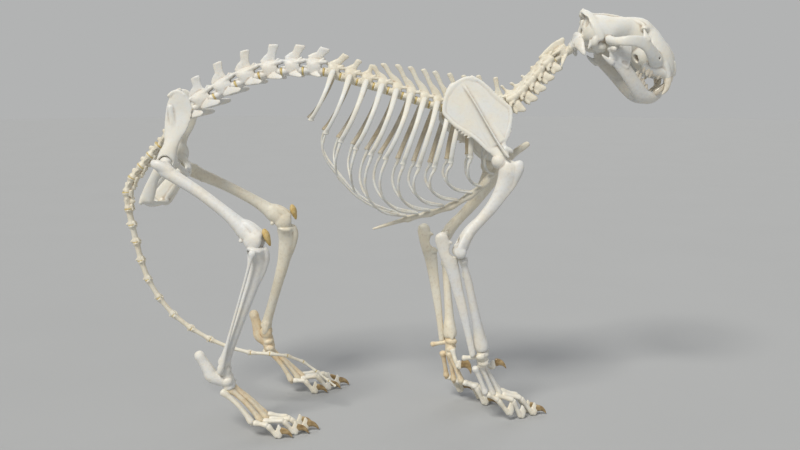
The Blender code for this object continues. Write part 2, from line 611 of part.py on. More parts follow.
def humerus(side):
    """An upper fore limb bone."""
    frame = limb_frame(SHOULDER[side], ELBOW[side], side)
    length = (ELBOW[side] - SHOULDER[side]).length / MM
    bow = UPPER_ARM_BOW[side]
    shaft = [(2, 20, 3, 17, 10), (16, 22, 1, 20, 13), (36, 25, 0, 18, 11), (64, 25, 0, 15, 10), (93, 21, 0,
                                                                                                 13, 9.5),
             (125, 12, 0, 11, 9.5), (155, 1, 0, 11, 12.5), (176, 0, 0, 10.5, 20), (length - 6, 1, 0, 9, 20)]
    parts = [knob(frame, (6, -3, -2), (14.5, 15, 13.5)),
             bar(frame, [(a, front * bow, *rest) for a, front, *rest in shaft], (0, 1, 0))]
    ridge = [(-6, 32, 7, 10, 7), (12, 36, 6, 11, 8), (36, 36, 3, 9, 6), (66, 30, 2, 6, 5)]
    parts.append(bar(frame, [(a, front * bow, *rest) for a, front, *rest in ridge], (0, 1, 0),
                     sides=THIN_SIDES))
    parts.append(bar(frame, [(length, 1, -19, 11, 11), (length, 1, -2, 8.5, 8.5), (length, 1, 17, 10.5,
                                                                                   10.5)],
                     (1, 0, 0)))
    parts.append(bar(frame, [(length - 22, 0, -17, 6, 5), (length - 5, -5, -22, 6.5, 5)], (0, 1, 0),
                     sides=THIN_SIDES))
    return parts


def radius(side):
    """The front bone of a lower fore limb."""
    frame = limb_frame(RADIUS_HEAD[side], WRIST[side], side)
    length = (WRIST[side] - RADIUS_HEAD[side]).length / MM
    return [bar(frame, [(0, 0, 0, 9.0, 12), (8, 0, 0, 8.5, 11), (18, 0, 0, 6.5, 8), (50, 1, 0, 8, 8),
                        (100, 1, 0, 8.5, 9.5), (150, 1, 0, 10, 10.5), (length - 15, 0, -1, 13.5, 15),
                        (length - 2, 0, -1, 13, 15.5)], (0, 1, 0), dome=0.15)]


def ulna(side):
    """The rear bone of a lower fore limb, with the point of the elbow."""
    frame = limb_frame(ULNA_TOP[side], ULNA_FOOT[side], side)
    length = (ULNA_FOOT[side] - ULNA_TOP[side]).length / MM
    parts = [bar(frame, [(-1, 2, 0, 9.0, 7.5), (12, 4, 0, 11, 7), (34, 5, 0, 11, 6.5), (52, 9, 0, 14, 7.5),
                         (70, 9, 0, 12.5, 6.5), (110, 8, 0, 10, 5.4), (160, 6, 0, 8.5, 4.8), (205, 4, 0,
                                                                                              6.5, 4.4),
                         (length - 12, 2, 0, 6.5, 4.8), (length, 1, 0, 5.5, 4.6)], (0, 1, 0))]
    parts.append(bar(frame, [(54, 14, -2, 8, 7), (55, 22, -3, 4, 6)], (1, 0, 0), sides=THIN_SIDES))
    parts.append(bar(frame, [(16, 8, -1, 6, 5), (18, 17, -1, 3.5, 5)], (1, 0, 0), sides=THIN_SIDES))
    return parts


def tapered(places, radii, wide=ACROSS, flat=1.0, **options):
    """A strand of round rows through world places, radii in millimetres."""
    rows = [(place, radius * MM, radius * flat * MM) for place, radius in zip(places, radii)]
    return strand(rows, wide, **options)


def carpus(side):
    """The small wrist bones in one block, with the bone that sticks out behind."""
    frame = limb_frame(WRIST[side], PAW_ROOT[side], side)
    length = (PAW_ROOT[side] - WRIST[side]).length / MM
    parts = [bar(frame, [(1, 0, 0, 11.5, 15), (9, 0, 0, 12.5, 17), (18, 0, 0, 11.5, 16.5), (length - 6, 0,
                                                                                         0, 10.5, 15.5)],
                 (0, 1, 0), dome=0.1)]
    start, tip = frame.at(12, -2, 7), PISIFORM_TIP[side]
    parts.append(tapered([start, start.lerp(tip, 0.6), tip], (5.5, 4.2, 6.0)))
    return parts


def foot_bones(root, knuckles, side, root_half, radius, bow):
    """The long foot bones side by side, joined where they start under the wrist or heel."""
    parts = []
    for i, knuckle in enumerate(knuckles):
        knuckle = Vector(knuckle)
        back, high = ((-13, -4), (-2, 0), (2, 4), (0, 1))[i]
        spread = (1.5 - i) / 2 * root_half
        start = root + Vector((back, side * spread, high)) * MM
        along = knuckle - start
        places, radii = [], []
        for share, size in ((0, 1.25), (0.2, 0.95), (0.55, 0.88), (0.86, 1.05), (1, 1.2)):
            bend = math.sin(math.pi * share) * bow
            places.append(start + along * share + Vector((bend * 0.5, 0, bend)) * MM)
            radii.append(radius * size)
        parts.append(tapered(places, radii, sides=THIN_SIDES))
    return parts


def digit(knuckle, middle, stand, radius, claw):
    """Toe bones from the knuckle down to the floor, with the claw held up in front.

    Args:
        stand: the lowest point of the last joint, on the floor or just above it.
        radius: half thickness of the joints in millimetres.
        claw: how far the claw reaches forwards of the last joint, in millimetres.
    """
    knuckle, middle = Vector(knuckle), Vector(middle)
    floor = Vector(stand) + UP * 0.0058
    forward = floor - knuckle
    forward.z = 0
    forward.normalize()
    start = knuckle + (middle - knuckle).normalized() * (radius * 1.15 * MM)
    parts = [tapered([start, start.lerp(middle, 0.45), middle], (radius * 1.05, radius * 0.72, radius),
                     sides=THIN_SIDES)]
    parts.append(tapered([middle, middle.lerp(floor, 0.5), floor], (radius * 0.95, radius * 0.7, 6.3),
                         sides=SIDES))
    root = floor + forward * 0.002
    hood = floor + forward * 0.004 + UP * 0.0135
    parts.append(tapered([root, hood, hood + UP * 0.004], (6.0, 4.6, 2.6), flat=0.7, wide=forward,
                         sides=THIN_SIDES))
    reach = claw * MM
    curve = [hood - UP * 0.004, floor + forward * reach * 0.55 + UP * 0.0125,
             floor + forward * reach * 0.86 + UP * 0.008, floor + forward * reach + UP * 0.001]
    parts.append(tapered(curve, (6.2, 5.6, 3.2, 0.7), flat=0.5, wide=UP, sides=THIN_SIDES))
    return parts


def dewclaw(side):
    """The inner fore toe, that hangs clear of the floor."""
    points = [Vector(point) for point in DEWCLAW[side]]
    parts = [tapered(points[:3], (6.0, 4.4, 5.4), sides=THIN_SIDES)]
    parts.append(tapered(points[2:], (6.0, 7.0, 5.0, 0.8), flat=0.6, wide=UP, sides=THIN_SIDES))
    return parts


def femur(side):
    """A thigh bone."""
    frame = limb_frame(HIP[side], KNEE[side], side)
    length = (KNEE[side] - HIP[side]).length / MM
    parts = [knob(frame, (0, 0, -2), (12.5, 12.5, 12.5)),
             bar(frame, [(0, 0, -2, 8.5, 8.5), (12, -1, 18, 10, 10), (18, 0, 24, 12, 9)], (0, 1, 0)),
             bar(frame, [(4, -6, 22, 13, 10), (20, -6, 23, 14, 11), (45, -4, 20, 12.5, 11.5), (100, 1, 13,
                                                                                             11, 11),
                         (160, 2, 7, 11.5, 11.5), (195, 0, 3, 15, 16), (214, -2, 0, 18.5, 19),
                         (length - 10, -3, 0, 18.5, 19)], (0, 1, 0))]
    parts.append(bar(frame, [(-8, -7, 30, 7, 7), (8, -4, 29, 11, 9), (30, -1, 24, 10, 9)], (0, 1, 0)))
    parts.append(bar(frame, [(196, 9, 0, 8, 9), (212, 14, 0, 8, 10), (224, 12, 0, 7, 10)], (0, 1, 0)))
    for out in (-11, 11):
        parts.append(knob(frame, (length - 9, -5, out), (18, 19, 9)))
    return parts


# Upper and lower end of each knee cap.
PATELLA = {RIGHT: (Vector((-0.259, -0.116, 0.412)), Vector((-0.247, -0.116, 0.379))),
           LEFT: (Vector((-0.230, 0.091, 0.429)), Vector((-0.221, 0.091, 0.397)))}


def patella(side):
    """A knee cap."""
    top, low = PATELLA[side]
    sizes = ((0.04, 4.6), (0.25, 8.4), (0.5, 8.6), (0.8, 5.0), (1, 2.0))
    rows = [(top.lerp(low, share), size * MM, size * 0.76 * MM) for share, size in sizes]
    return [strand(rows, ACROSS)]


def tibia(side):
    """A shin bone, with the sharp crest below the knee."""
    frame = limb_frame(KNEE[side], ANKLE[side], side)
    length = (ANKLE[side] - KNEE[side]).length / MM
    parts = [bar(frame, [(13, -2, 0, 17, 24), (25, 0, 0, 17, 22), (45, 7, -1, 17, 14), (75, 10, -1, 14.5,
                                                                                        11),
                         (110, 9, 0, 11, 9.5), (170, 4, 0, 9, 9), (length - 27, 0, 0, 9, 11.5),
                         (length - 9, -1, 0, 10.5, 14.5)], (0, 1, 0), dome=0.15)]
    parts.append(bar(frame, [(14, 13, 0, 6, 7), (32, 19, -1, 6, 5), (60, 20, -1, 5, 3.6), (95, 14, 0, 4,
                                                                                           3.5)],
                     (0, 1, 0), sides=THIN_SIDES))
    parts.append(bar(frame, [(length - 15, 0, -10, 7, 5), (length + 3, 0, -14, 5, 3)], (0, 1, 0),
                     sides=THIN_SIDES))
    return parts


def fibula(side):
    """The thin outer bone of a lower hind limb."""
    frame = limb_frame(KNEE[side], ANKLE[side], side)
    length = (ANKLE[side] - KNEE[side]).length / MM
    return [bar(frame, [(20, -5, 22, 7, 4.5), (34, -5, 22.5, 4.2, 3.0), (70, -4, 21, 2.8, 2.6),
                        (135, -4, 18.5, 2.6, 2.4), (200, -4, 17, 3.0, 2.6), (length - 12, -3, 18, 5.5, 3.8),
                        (length + 5, -3, 17, 5.5, 4.2)], (0, 1, 0), sides=THIN_SIDES)]


def tarsus(side):
    """The heel bone, the ankle bone and the small bones in front of them, in one block."""
    heel, root, ankle = HEEL[side], FOOT_ROOT[side], ANKLE[side]
    frame = limb_frame(ankle, root, side)
    parts = [knob(frame, (3, 1, -2), (15, 12, 12))]
    front = root + (ankle - root) * 0.35
    under = heel.lerp(front, 0.6) + Vector((-0.006, side * 0.003, -0.012))
    parts.append(tapered([heel, heel.lerp(under, 0.35), under, front + Vector((0, side * 0.003, 0))],
                         (8.5, 8.0, 11.0, 10.5), flat=1.0))
    length = (root - ankle).length / MM
    parts.append(bar(frame, [(length * 0.3, 0, 0, 12, 13), (length * 0.7, 0, 0, 12, 14.5), (length - 5, 0,
                                                                                            0, 10.5, 14.5)],
                     (0, 1, 0), dome=0.15))
    return parts


def hull(frame, stations, sides=14):
    """A closed body through cross sections that are rounder above or below.

    Each station is x, bottom, widest height, top and half width, in millimetres in the frame.
    """
    points, faces = [], []
    for i, (x, bottom, middle, top, half) in enumerate(stations):
        for k in range(sides):
            angle = 2 * math.pi * k / sides
            height = top - middle if math.sin(angle) > 0 else middle - bottom
            points.append(frame.at(x, half * math.cos(angle), middle + height * math.sin(angle)))
        if i:
            low, high = (i - 1) * sides, i * sides
            faces += [(low + k, low + (k + 1) % sides, high + (k + 1) % sides,
                       high + k) for k in range(sides)]
    faces.append(tuple(reversed(range(sides))))
    faces.append(tuple(range(len(points) - sides, len(points))))
    if signed_volume(points, faces) < 0:
        faces = [tuple(reversed(face)) for face in faces]
    return points, faces


def tilted_frame(origin, pitch, yaw):
    """A frame whose x axis is turned down by the pitch and then to the left by the yaw."""
    forward = Vector((math.cos(pitch) * math.cos(yaw), math.cos(pitch) * math.sin(yaw), -math.sin(pitch)))
    left = Vector((-math.sin(yaw), math.cos(yaw), 0))
    return Frame(origin, forward, left, forward.cross(left))


HEAD = tilted_frame((0.357, -0.003, 0.741), math.radians(15), math.radians(8))
JAW = tilted_frame(HEAD.at(40.5, 0, 19.2), math.radians(31.5), math.radians(8))

# Cross sections of the skull: x, bottom, widest height, top, half width.
SKULL_SECTIONS = [
    (-9, 24, 42, 58, 14), (-4, 20, 41, 66, 26), (4, 18, 40, 74, 34), (20, 20, 45, 80, 37), (40, 22, 52, 85,
                                                                                            36),
    (60, 22, 58, 90, 29), (78, 20, 62, 95, 21), (95, 14, 60, 98, 22), (108, 8, 60, 96, 25),
    (120, 0, 46, 91, 24), (135, -4, 30, 83, 27), (150, -4, 25, 71, 30), (165, -4, 22, 59, 29),
    (178, -3, 15, 44, 25), (186, 0, 10, 25, 19), (191, 2, 7, 13, 15),
]
CHEEK_ARCH = [
    (146, 27, 22, 12, 5), (132, 42, 28, 14, 4.6), (118, 54, 38, 10.5, 4.2), (104, 62, 46, 8.5, 4),
    (85, 68, 47, 7.5, 3.6), (65, 70, 42, 7, 3.6), (48, 66, 37, 7, 4.2), (38, 54, 35, 6, 8), (32, 34, 36, 7,
                                                                                             9),
]
UPPER_CANINE = [(173, 23, 8, 7.5, 5), (178, 25, -6, 6.8, 5), (178, 25, -20, 4.6, 3.6), (173, 24, -35, 1.0,
                                                                                        0.9)]
LOWER_CANINE = [(135, 13, -14, 6.5, 5), (140, 15, 2, 5.4, 4.2), (139, 17, 19, 1.1, 1.0)]


def tooth(frame, x, y, root, tip, half_long, half_wide):
    """A cheek tooth: a plain cusp that narrows to its tip."""
    return bar(frame, [(x, y, root, half_long, half_wide), (x, y, (root + 2 * tip) / 3, half_long * 0.85,
                                                            half_wide),
                       (x, y, tip, half_long * 0.3, half_wide * 0.4)], (1, 0, 0), sides=THIN_SIDES,
               dome=0.1)


def skull():
    """The skull with its upper teeth."""
    parts = [hull(HEAD, SKULL_SECTIONS)]
    parts += both(HEAD, CHEEK_ARCH, (0, 0, 1))
    parts += both(HEAD, [(112, 57, 44, 6, 3), (112, 54, 58, 3.4, 2.6), (111, 50, 66, 2, 1.8)], (1, 0, 0),
                  sides=THIN_SIDES)
    parts += both(HEAD, [(107, 18, 86, 9, 6), (104, 36, 81, 6, 4), (103, 45, 75, 2.4, 2)], (1, 0, 0),
                  sides=THIN_SIDES)
    for side in (RIGHT, LEFT):
        parts.append(knob(HEAD, (22, side * 23, 19), (15, 11, 10)))
        parts.append(knob(HEAD, (8, side * 35, 28), (8, 7, 12)))
        parts.append(knob(HEAD, (-4, side * 11, 30), (7, 7, 9)))
    crest = [(13, 38, 34, 7, 2.4), (-2, 35, 56, 7, 2.4), (-17, 20, 74, 8, 2.6), (-23, 0, 80, 9, 3),
             (-17, -20, 74, 8, 2.6), (-2, -35, 56, 7, 2.4), (13, -38, 34, 7, 2.4)]
    parts.append(bar(HEAD, crest, (1, 0, 0.2), sides=THIN_SIDES))
    parts.append(bar(HEAD, [(-24, 0, 74, 9, 2.6), (2, 0, 72, 9, 2.6), (24, 0, 78, 10, 2.4), (52, 0, 81, 10,
                                                                                             2)],
                     (0, 0, 1), sides=THIN_SIDES))
    parts += both(HEAD, UPPER_CANINE, (1, 0, 0))
    for x, y, tip, half_long, half_wide in ((150, 32, -10, 8.5, 4), (131, 36, -13, 6, 4), (120, 38, -9, 6,
                                                                                           4)):
        for side in (RIGHT, LEFT):
            parts.append(tooth(HEAD, x, side * y, 8, tip, half_long, half_wide))
    for x, y in ((187, 13), (190, 8), (191, 3)):
        for side in (RIGHT, LEFT):
            parts.append(tooth(HEAD, x - 1, side * y, 8, -9, 2.8, 2.3))
    return parts


def skull_hollows(growth):
    """What is taken out of the skull: the nose opening and the hole for the spine."""
    return [knob(HEAD, (187, 0, 28), (16 * growth, 12, 15)), knob(HEAD, (-10, 0, 38), (9 * growth, 8, 8))]


def jaw():
    """The lower jaw with its teeth."""
    parts = []
    parts += both(JAW, [(12, 43, -10, 12, 4), (40, 38, -16, 13.5, 5), (65, 33, -23, 14, 6), (90, 26, -31,
                                                                                             15, 6.5),
                        (112, 18, -36, 14.5, 7), (130, 9, -30, 13, 8), (143, 4, -17, 11, 7), (148, 1, -8, 7,
                                                                                              5)],
                  (0.25, 0, 1))
    parts += both(JAW, [(24, 42, -14, 17, 3), (20, 43, 8, 14, 2.6), (14, 44, 28, 9, 2.3), (7, 45, 43, 4,
                                                                                           1.8)],
                  (1, 0, 0), sides=THIN_SIDES)
    parts += both(JAW, [(0, 32, 0, 5.5, 5), (0, 58, 0, 5.5, 5)], (1, 0, 0), sides=THIN_SIDES)
    parts += both(JAW, [(2, 44, -1, 7, 6), (14, 43, -12, 9, 5)], (1, 0, 0), sides=THIN_SIDES)
    parts += both(JAW, [(12, 43, -20, 7, 4), (-5, 43, -21, 3, 2.5)], (0, 0, 1), sides=THIN_SIDES)
    parts += both(JAW, LOWER_CANINE, (1, 0, 0))
    for x, y, root, tip, half_long in ((108, 20, -27, -13, 6), (94, 25, -23, -7, 7.5), (78, 30, -18, -2,
                                                                                        8.5)):
        for side in (RIGHT, LEFT):
            parts.append(tooth(JAW, x, side * y, root, tip, half_long, 3.6))
    for y in (3, 7):
        for side in (RIGHT, LEFT):
            parts.append(tooth(JAW, 146 - abs(y) / 4, side * y, -8, 3, 2.4, 2))
    return parts


def mesh_object(name, shape):
    """A new object from points and faces."""
    mesh = bpy.data.meshes.new(name)
    mesh.from_pydata([tuple(point) for point in shape[0]], [], shape[1])
    obj = bpy.data.objects.new(name, mesh)
    bpy.context.scene.collection.objects.link(obj)
    return obj


def applied(obj, operation, tools):
    """Combines an object with the tools, which are removed, and gives it the result's mesh."""
    group = bpy.data.collections.new("tools")
    for tool in tools:
        bpy.context.scene.collection.objects.unlink(tool)
        group.objects.link(tool)
    modifier = obj.modifiers.new("combine", "BOOLEAN")
    modifier.operation = operation
    modifier.operand_type = "COLLECTION"
    modifier.collection = group
    modifier.solver = "MANIFOLD"
    depsgraph = bpy.context.evaluated_depsgraph_get()
    mesh = bpy.data.meshes.new_from_object(obj.evaluated_get(depsgraph))
    obj.modifiers.clear()
    old = obj.data
    obj.data = mesh
    bpy.data.meshes.remove(old)
    for tool in tools:
        bpy.data.objects.remove(tool)
    bpy.data.collections.remove(group)


def shells(bm):
    """The vertices of each connected part."""
    left, found = set(bm.verts), []
    while left:
        start = left.pop()
        group, front = {start}, [start]
        while front:
            vert = front.pop()
            for edge in vert.link_edges:
                other = edge.other_vert(vert)
                if other in left:
                    left.remove(other)
                    group.add(other)
                    front.append(other)
        found.append(group)
    return found


def closed(bm):
    """Whether each edge lies between exactly two faces."""
    return all(len(edge.link_faces) == 2 for edge in bm.edges)


def tidied(obj):
    """Keeps the largest surface, all triangles that point outwards, and says if it is closed."""
    for shortest in (0.03 * MM, 0.004 * MM, 0):
        bm = bmesh.new()
        bm.from_mesh(obj.data)
        if shortest:
            bmesh.ops.remove_doubles(bm, verts=bm.verts, dist=shortest)
            bmesh.ops.dissolve_degenerate(bm, edges=bm.edges, dist=shortest)
        if closed(bm):
            break
        if shortest:
            bm.free()
    groups = shells(bm)
    if len(groups) > 1:
        def reach(group):
            places = [vert.co for vert in group]
            return sum(max(p[k] for p in places) - min(p[k] for p in places) for k in range(3))
        keep = max(groups, key=reach)
        bmesh.ops.delete(bm, geom=[vert for vert in bm.verts if vert not in keep], context="VERTS")
    bmesh.ops.triangulate(bm, faces=bm.faces)
    bmesh.ops.recalc_face_normals(bm, faces=bm.faces)
    bm.to_mesh(obj.data)
    whole = closed(bm)
    bm.free()
    return whole


def fuse(name, shapes):
    """One closed solid from overlapping closed shapes."""
    obj = mesh_object(name, shapes[0])
    if len(shapes) > 1:
        applied(obj, "UNION", [mesh_object("tool", shape) for shape in shapes[1:]])
    tidied(obj)
    return obj


def thinned(obj, target):
    """Merges the smallest faces until about the target number of triangles is left."""
    full = obj.data
    for tries in range(6):
        ratio = target * (1 + 0.07 * tries) / len(full.polygons)
        if ratio >= 1:
            break
        obj.data = full
        modifier = obj.modifiers.new("thin", "DECIMATE")
        modifier.ratio = ratio
        depsgraph = bpy.context.evaluated_depsgraph_get()
        obj.data = bpy.data.meshes.new_from_object(obj.evaluated_get(depsgraph))
        obj.modifiers.clear()
        if tidied(obj):
            return
    obj.data = full


def swollen(obj, gap):
    """A copy of an object, larger by the gap all round."""
    bm = bmesh.new()
    bm.from_mesh(obj.data)
    bm.normal_update()
    moved = [(vert, vert.co + vert.normal * gap) for vert in bm.verts]
    for vert, place in moved:
        vert.co = place
    mesh = bpy.data.meshes.new("swollen")
    bm.to_mesh(mesh)
    bm.free()
    copy = bpy.data.objects.new("swollen", mesh)
    bpy.context.scene.collection.objects.link(copy)
    return copy


def box_of(obj):
    """The lowest and highest corner of an object's mesh."""
    places = [vert.co for vert in obj.data.vertices]
    return [min(p[k] for p in places) for k in range(3)], [max(p[k] for p in places) for k in range(3)]


def touches(first, second):
    """Whether two objects' surfaces cross."""
    trees = []
    for obj in (first, second):
        bm = bmesh.new()
        bm.from_mesh(obj.data)
        trees.append(BVHTree.FromBMesh(bm))
        bm.free()
    return bool(trees[0].overlap(trees[1]))


def cut(obj, make_tools):
    """Takes tools out of an object, a little larger if the first size leaves it unclosed.

    Args:
        make_tools: called with a growth factor, and gives the list of tool objects.
    """
    before = obj.data
    for growth in (1, 1.12, 1.27, 1.45):
        obj.data = before.copy()
        applied(obj, "DIFFERENCE", make_tools(growth))
        if tidied(obj):
            break
    bpy.data.meshes.remove(before)


def carve(nodes):
    """Cuts every bone by the ones before it in the list, with a small gap between them."""
    done = []
    for obj in nodes:
        low, high = box_of(obj)
        for other, other_low, other_high in done:
            apart = [low[k] > other_high[k] + JOINT_GAP or high[k] < other_low[k] - JOINT_GAP
                     for k in range(3)]
            if any(apart):
                continue
            tool = swollen(other, JOINT_GAP)
            if touches(obj, tool):
                cut(obj, lambda growth, other=other: [swollen(other, JOINT_GAP * growth)])
            bpy.data.objects.remove(tool)
        done.append((obj, *box_of(obj)))


def block(low, high):
    """A box from its lowest to its highest corner."""
    points = [Vector((x, y, z)) for x in (low[0], high[0]) for y in (low[1], high[1]) for z in (low[2],
                                                                                                high[2])]
    faces = [(0, 1, 3, 2), (4, 6, 7, 5), (0, 4, 5, 1), (2, 3, 7, 6), (0, 2, 6, 4), (1, 5, 7, 3)]
    if signed_volume(points, faces) < 0:
        faces = [tuple(reversed(face)) for face in faces]
    return points, faces


def coloured(obj, colour):
    """Gives an object a material of its own and rounded shading."""
    material = bpy.data.materials.new(obj.name + "_bone")
    material.use_nodes = True
    shader = material.node_tree.nodes["Principled BSDF"]
    shader.inputs["Base Color"].default_value = colour
    shader.inputs["Roughness"].default_value = 0.55
    obj.data.materials.clear()
    obj.data.materials.append(material)
    for polygon in obj.data.polygons:
        polygon.use_smooth = True


def main():
    """Builds every bone, parts them at the joints and stands them on the floor."""
    for old in list(bpy.data.objects):
        bpy.data.objects.remove(old)
    nodes = []
    for side, word in SIDE_NAMES.items():
        nodes.append(fuse("femur_" + word, femur(side)))
        nodes.append(fuse("humerus_" + word, humerus(side)))
    nodes.append(fuse("skull", skull()))
    cut(nodes[-1], lambda growth: [mesh_object("tool", shape) for shape in skull_hollows(growth)])
    nodes.append(fuse("jaw", jaw()))
    nodes.append(fuse("atlas", atlas()))
    nodes.append(fuse("axis", axis()))
    nodes.append(fuse("neck", neck()))
    nodes.append(fuse("sternum", sternum()))
    for side, word in SIDE_NAMES.items():
        half = fuse("chest_" + word, chest_half(side))
        def beyond_middle(growth, side=side):
            low, high = sorted((side * 0.00015 * growth, -side * 0.2))
            return [mesh_object("tool", block((-1, low, 0.2), (1, high, 1)))]
        cut(half, beyond_middle)
        nodes.append(half)
    nodes.append(fuse("lumbar", loin()))
    nodes.append(fuse("sacrum", sacrum()))
    nodes.append(fuse("pelvis", pelvis()))
    for number, (first, last) in enumerate(TAIL_GROUPS, 1):
        nodes.append(fuse("tail_%d" % number, tail(first, last)))
    for side, word in SIDE_NAMES.items():
        nodes.append(fuse("scapula_" + word, scapula(side)))
        nodes.append(fuse("radius_" + word, radius(side)))
        nodes.append(fuse("ulna_" + word, ulna(side)))
        nodes.append(fuse("carpus_" + word, carpus(side)))
        knuckles = [toe[0] for toe in FORE_TOES[side]]
        nodes.append(fuse("metacarpus_" + word, foot_bones(PAW_ROOT[side], knuckles, side, 14, 5.8, 1)))
        nodes.append(fuse("fore_digit_1_" + word, dewclaw(side)))
        nodes.append(fuse("tibia_" + word, tibia(side)))
        nodes.append(fuse("fibula_" + word, fibula(side)))
        nodes.append(fuse("patella_" + word, patella(side)))
        nodes.append(fuse("tarsus_" + word, tarsus(side)))
        knuckles = [toe[0] for toe in HIND_TOES[side]]
        nodes.append(fuse("metatarsus_" + word, foot_bones(FOOT_ROOT[side], knuckles, side, 14, 6.0, 4)))
    for side, word in SIDE_NAMES.items():
        for limb, toes, claw in (("fore", FORE_TOES[side], 26), ("hind", HIND_TOES[side], 26)):
            for i, (knuckle, middle, stand) in enumerate(toes):
                toe = fuse("%s_digit_%d_%s" % (limb, 5 - i, word), digit(knuckle, middle, stand, 5.2, claw))
                nodes.append(toe)
    for obj in nodes:
        kind = obj.name.rsplit("_", 1)[0] if obj.name.endswith(("_right", "_left")) else obj.name
        thinned(obj, FACE_TARGETS.get(kind, DIGIT_TARGET if "digit" in kind else OTHER_TARGET))
        if "digit" in kind and min(vert.co.z for vert in obj.data.vertices) < FLAT_HEIGHT:
            cut(obj, lambda growth: [mesh_object("tool", block((-1, -1, -1), (1, 1,
                                                                              FLAT_HEIGHT * growth)))])
    carve(nodes)
    lows, highs = zip(*(box_of(obj) for obj in nodes))
    shift = Vector(((min(c[0] for c in lows) + max(c[0] for c in highs)) / 2,
                    (min(c[1] for c in lows) + max(c[1] for c in highs)) / 2, min(c[2] for c in lows)))
    for obj in nodes:
        obj.data.transform(Matrix.Translation(-shift))
        coloured(obj, CLAW_TOE_COLOUR if "digit" in obj.name else BONE_COLOUR)


main()
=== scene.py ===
"""Museum skeleton of a large cat in a walking stance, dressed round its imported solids.

Every bone is built up from overlapping lumps in a frame of its own, in millimetres, cast into one
surface, smoothed, and finished as dry, degreased bone. Ribs, cartilages, discs and claw sheaths are
swept or set in place by Geometry Nodes.

World frame: +X towards the head, +Y to the animal's left, +Z up, in metres.
"""
from __future__ import annotations

import logging
import math
from dataclasses import dataclass, field
from enum import Enum
from typing import Any, Callable, Iterable, Sequence

import bmesh
import bpy
from mathutils import Matrix, Vector

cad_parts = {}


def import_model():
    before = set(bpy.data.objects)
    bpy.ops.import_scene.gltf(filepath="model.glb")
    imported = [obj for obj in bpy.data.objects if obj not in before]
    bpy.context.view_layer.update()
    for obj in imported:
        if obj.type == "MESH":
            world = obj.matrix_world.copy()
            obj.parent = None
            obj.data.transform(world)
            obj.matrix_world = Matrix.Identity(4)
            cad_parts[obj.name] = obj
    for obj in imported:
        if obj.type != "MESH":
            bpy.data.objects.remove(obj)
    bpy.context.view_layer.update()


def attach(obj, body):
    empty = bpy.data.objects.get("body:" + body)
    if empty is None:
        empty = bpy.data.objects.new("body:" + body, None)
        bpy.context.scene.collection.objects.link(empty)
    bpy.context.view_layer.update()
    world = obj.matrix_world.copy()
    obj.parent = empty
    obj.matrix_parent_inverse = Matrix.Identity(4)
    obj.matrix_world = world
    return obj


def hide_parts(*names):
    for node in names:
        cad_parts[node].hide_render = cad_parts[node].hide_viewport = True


LOG = logging.getLogger("skeleton")

MM = 0.001
UP = Vector((0, 0, 1))
ACROSS = Vector((0, 1, 0))
FORWARD = Vector((1, 0, 0))

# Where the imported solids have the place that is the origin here.
CENTRING = Vector((-0.007383, 0.020999, 0.000829))

# A clay's own directions, for the wide side of its bars.
ALONG = (1, 0, 0)
SIDEWAYS = (0, 1, 0)
HIGH = (0, 0, 1)

# How far the head is turned to the animal's left, in degrees.
HEAD_YAW = 8

# The smallest half sizes of a bar and of a swept oval, in metres.
THINNEST_BAR = 0.0002
THINNEST_OVAL = 0.0001

# A band of the wave texture is about this share of its own unit wide.
WAVE_BAND = 1 / 6.3

# How often places are blurred to find hollows, and the depth in metres that counts as fully hollow.
HOLLOW_STEPS = 7
HOLLOW_DEPTH = 0.5 * MM

# The middle of a toe's last joint above the floor, and its claw's seat above that, in metres.
LAST_JOINT = 0.0058
CLAW_SEAT = 0.0095

Row = tuple[float, ...]
Rows = Sequence[Row]
Triple = tuple[float, float, float]
Shape = tuple[list[Vector], list[tuple[int, ...]]]
Place = tuple[Vector, Matrix, Triple]


class Side(Enum):
    """The two sides of the body."""

    RIGHT = -1
    LEFT = 1

    @property
    def word(self) -> str:
        """The side's name as the solids spell it."""
        return self.name.lower()


class Frame:
    """Three directions at right angles and an origin, for shaping a bone in millimetres."""

    def __init__(self, origin: Sequence[float], x_axis: Sequence[float], y_axis: Sequence[float],
                 z_axis: Sequence[float]) -> None:
        """Keeps the origin, in metres, and the three directions."""
        self.origin = Vector(origin)
        self.axes = (Vector(x_axis), Vector(y_axis), Vector(z_axis))

    def turn(self, x: float, y: float, z: float) -> Vector:
        """A direction or offset given along the frame's own axes."""
        return self.axes[0] * x + self.axes[1] * y + self.axes[2] * z

    def at(self, x: float, y: float, z: float) -> Vector:
        """The world place of a point given in millimetres."""
        return self.origin + self.turn(x, y, z) * MM


WORLD = Frame((0, 0, 0), FORWARD, ACROSS, UP)


def limb_frame(upper: Vector, lower: Vector, side: Side) -> Frame:
    """A limb bone's frame: x runs down the bone, y faces forwards and z faces outwards."""
    along = (lower - upper).normalized()
    out = ACROSS * side.value
    out = (out - along * out.dot(along)).normalized()
    return Frame(upper, along, along.cross(out) * side.value, out)


def spine_frame(place: Vector, tangent: Vector) -> Frame:
    """A vertebra's frame: x runs towards the head, y to the left and z to the back."""
    along = tangent.normalized()
    return Frame(place, along, ACROSS, along.cross(ACROSS))


def tilted_frame(origin: Sequence[float], pitch: float, yaw: float) -> Frame:
    """A frame whose x axis is turned down by the pitch and then to the left by the yaw, in degrees."""
    pitch, yaw = math.radians(pitch), math.radians(yaw)
    forward = Vector((math.cos(pitch) * math.cos(yaw), math.cos(pitch) * math.sin(yaw), -math.sin(pitch)))
    left = Vector((-math.sin(yaw), math.cos(yaw), 0))
    return Frame(origin, forward, left, forward.cross(left))


def eased(values: Sequence[float], share: float) -> float:
    """A value between two, by share from 0 to 1."""
    return values[0] + (values[1] - values[0]) * share


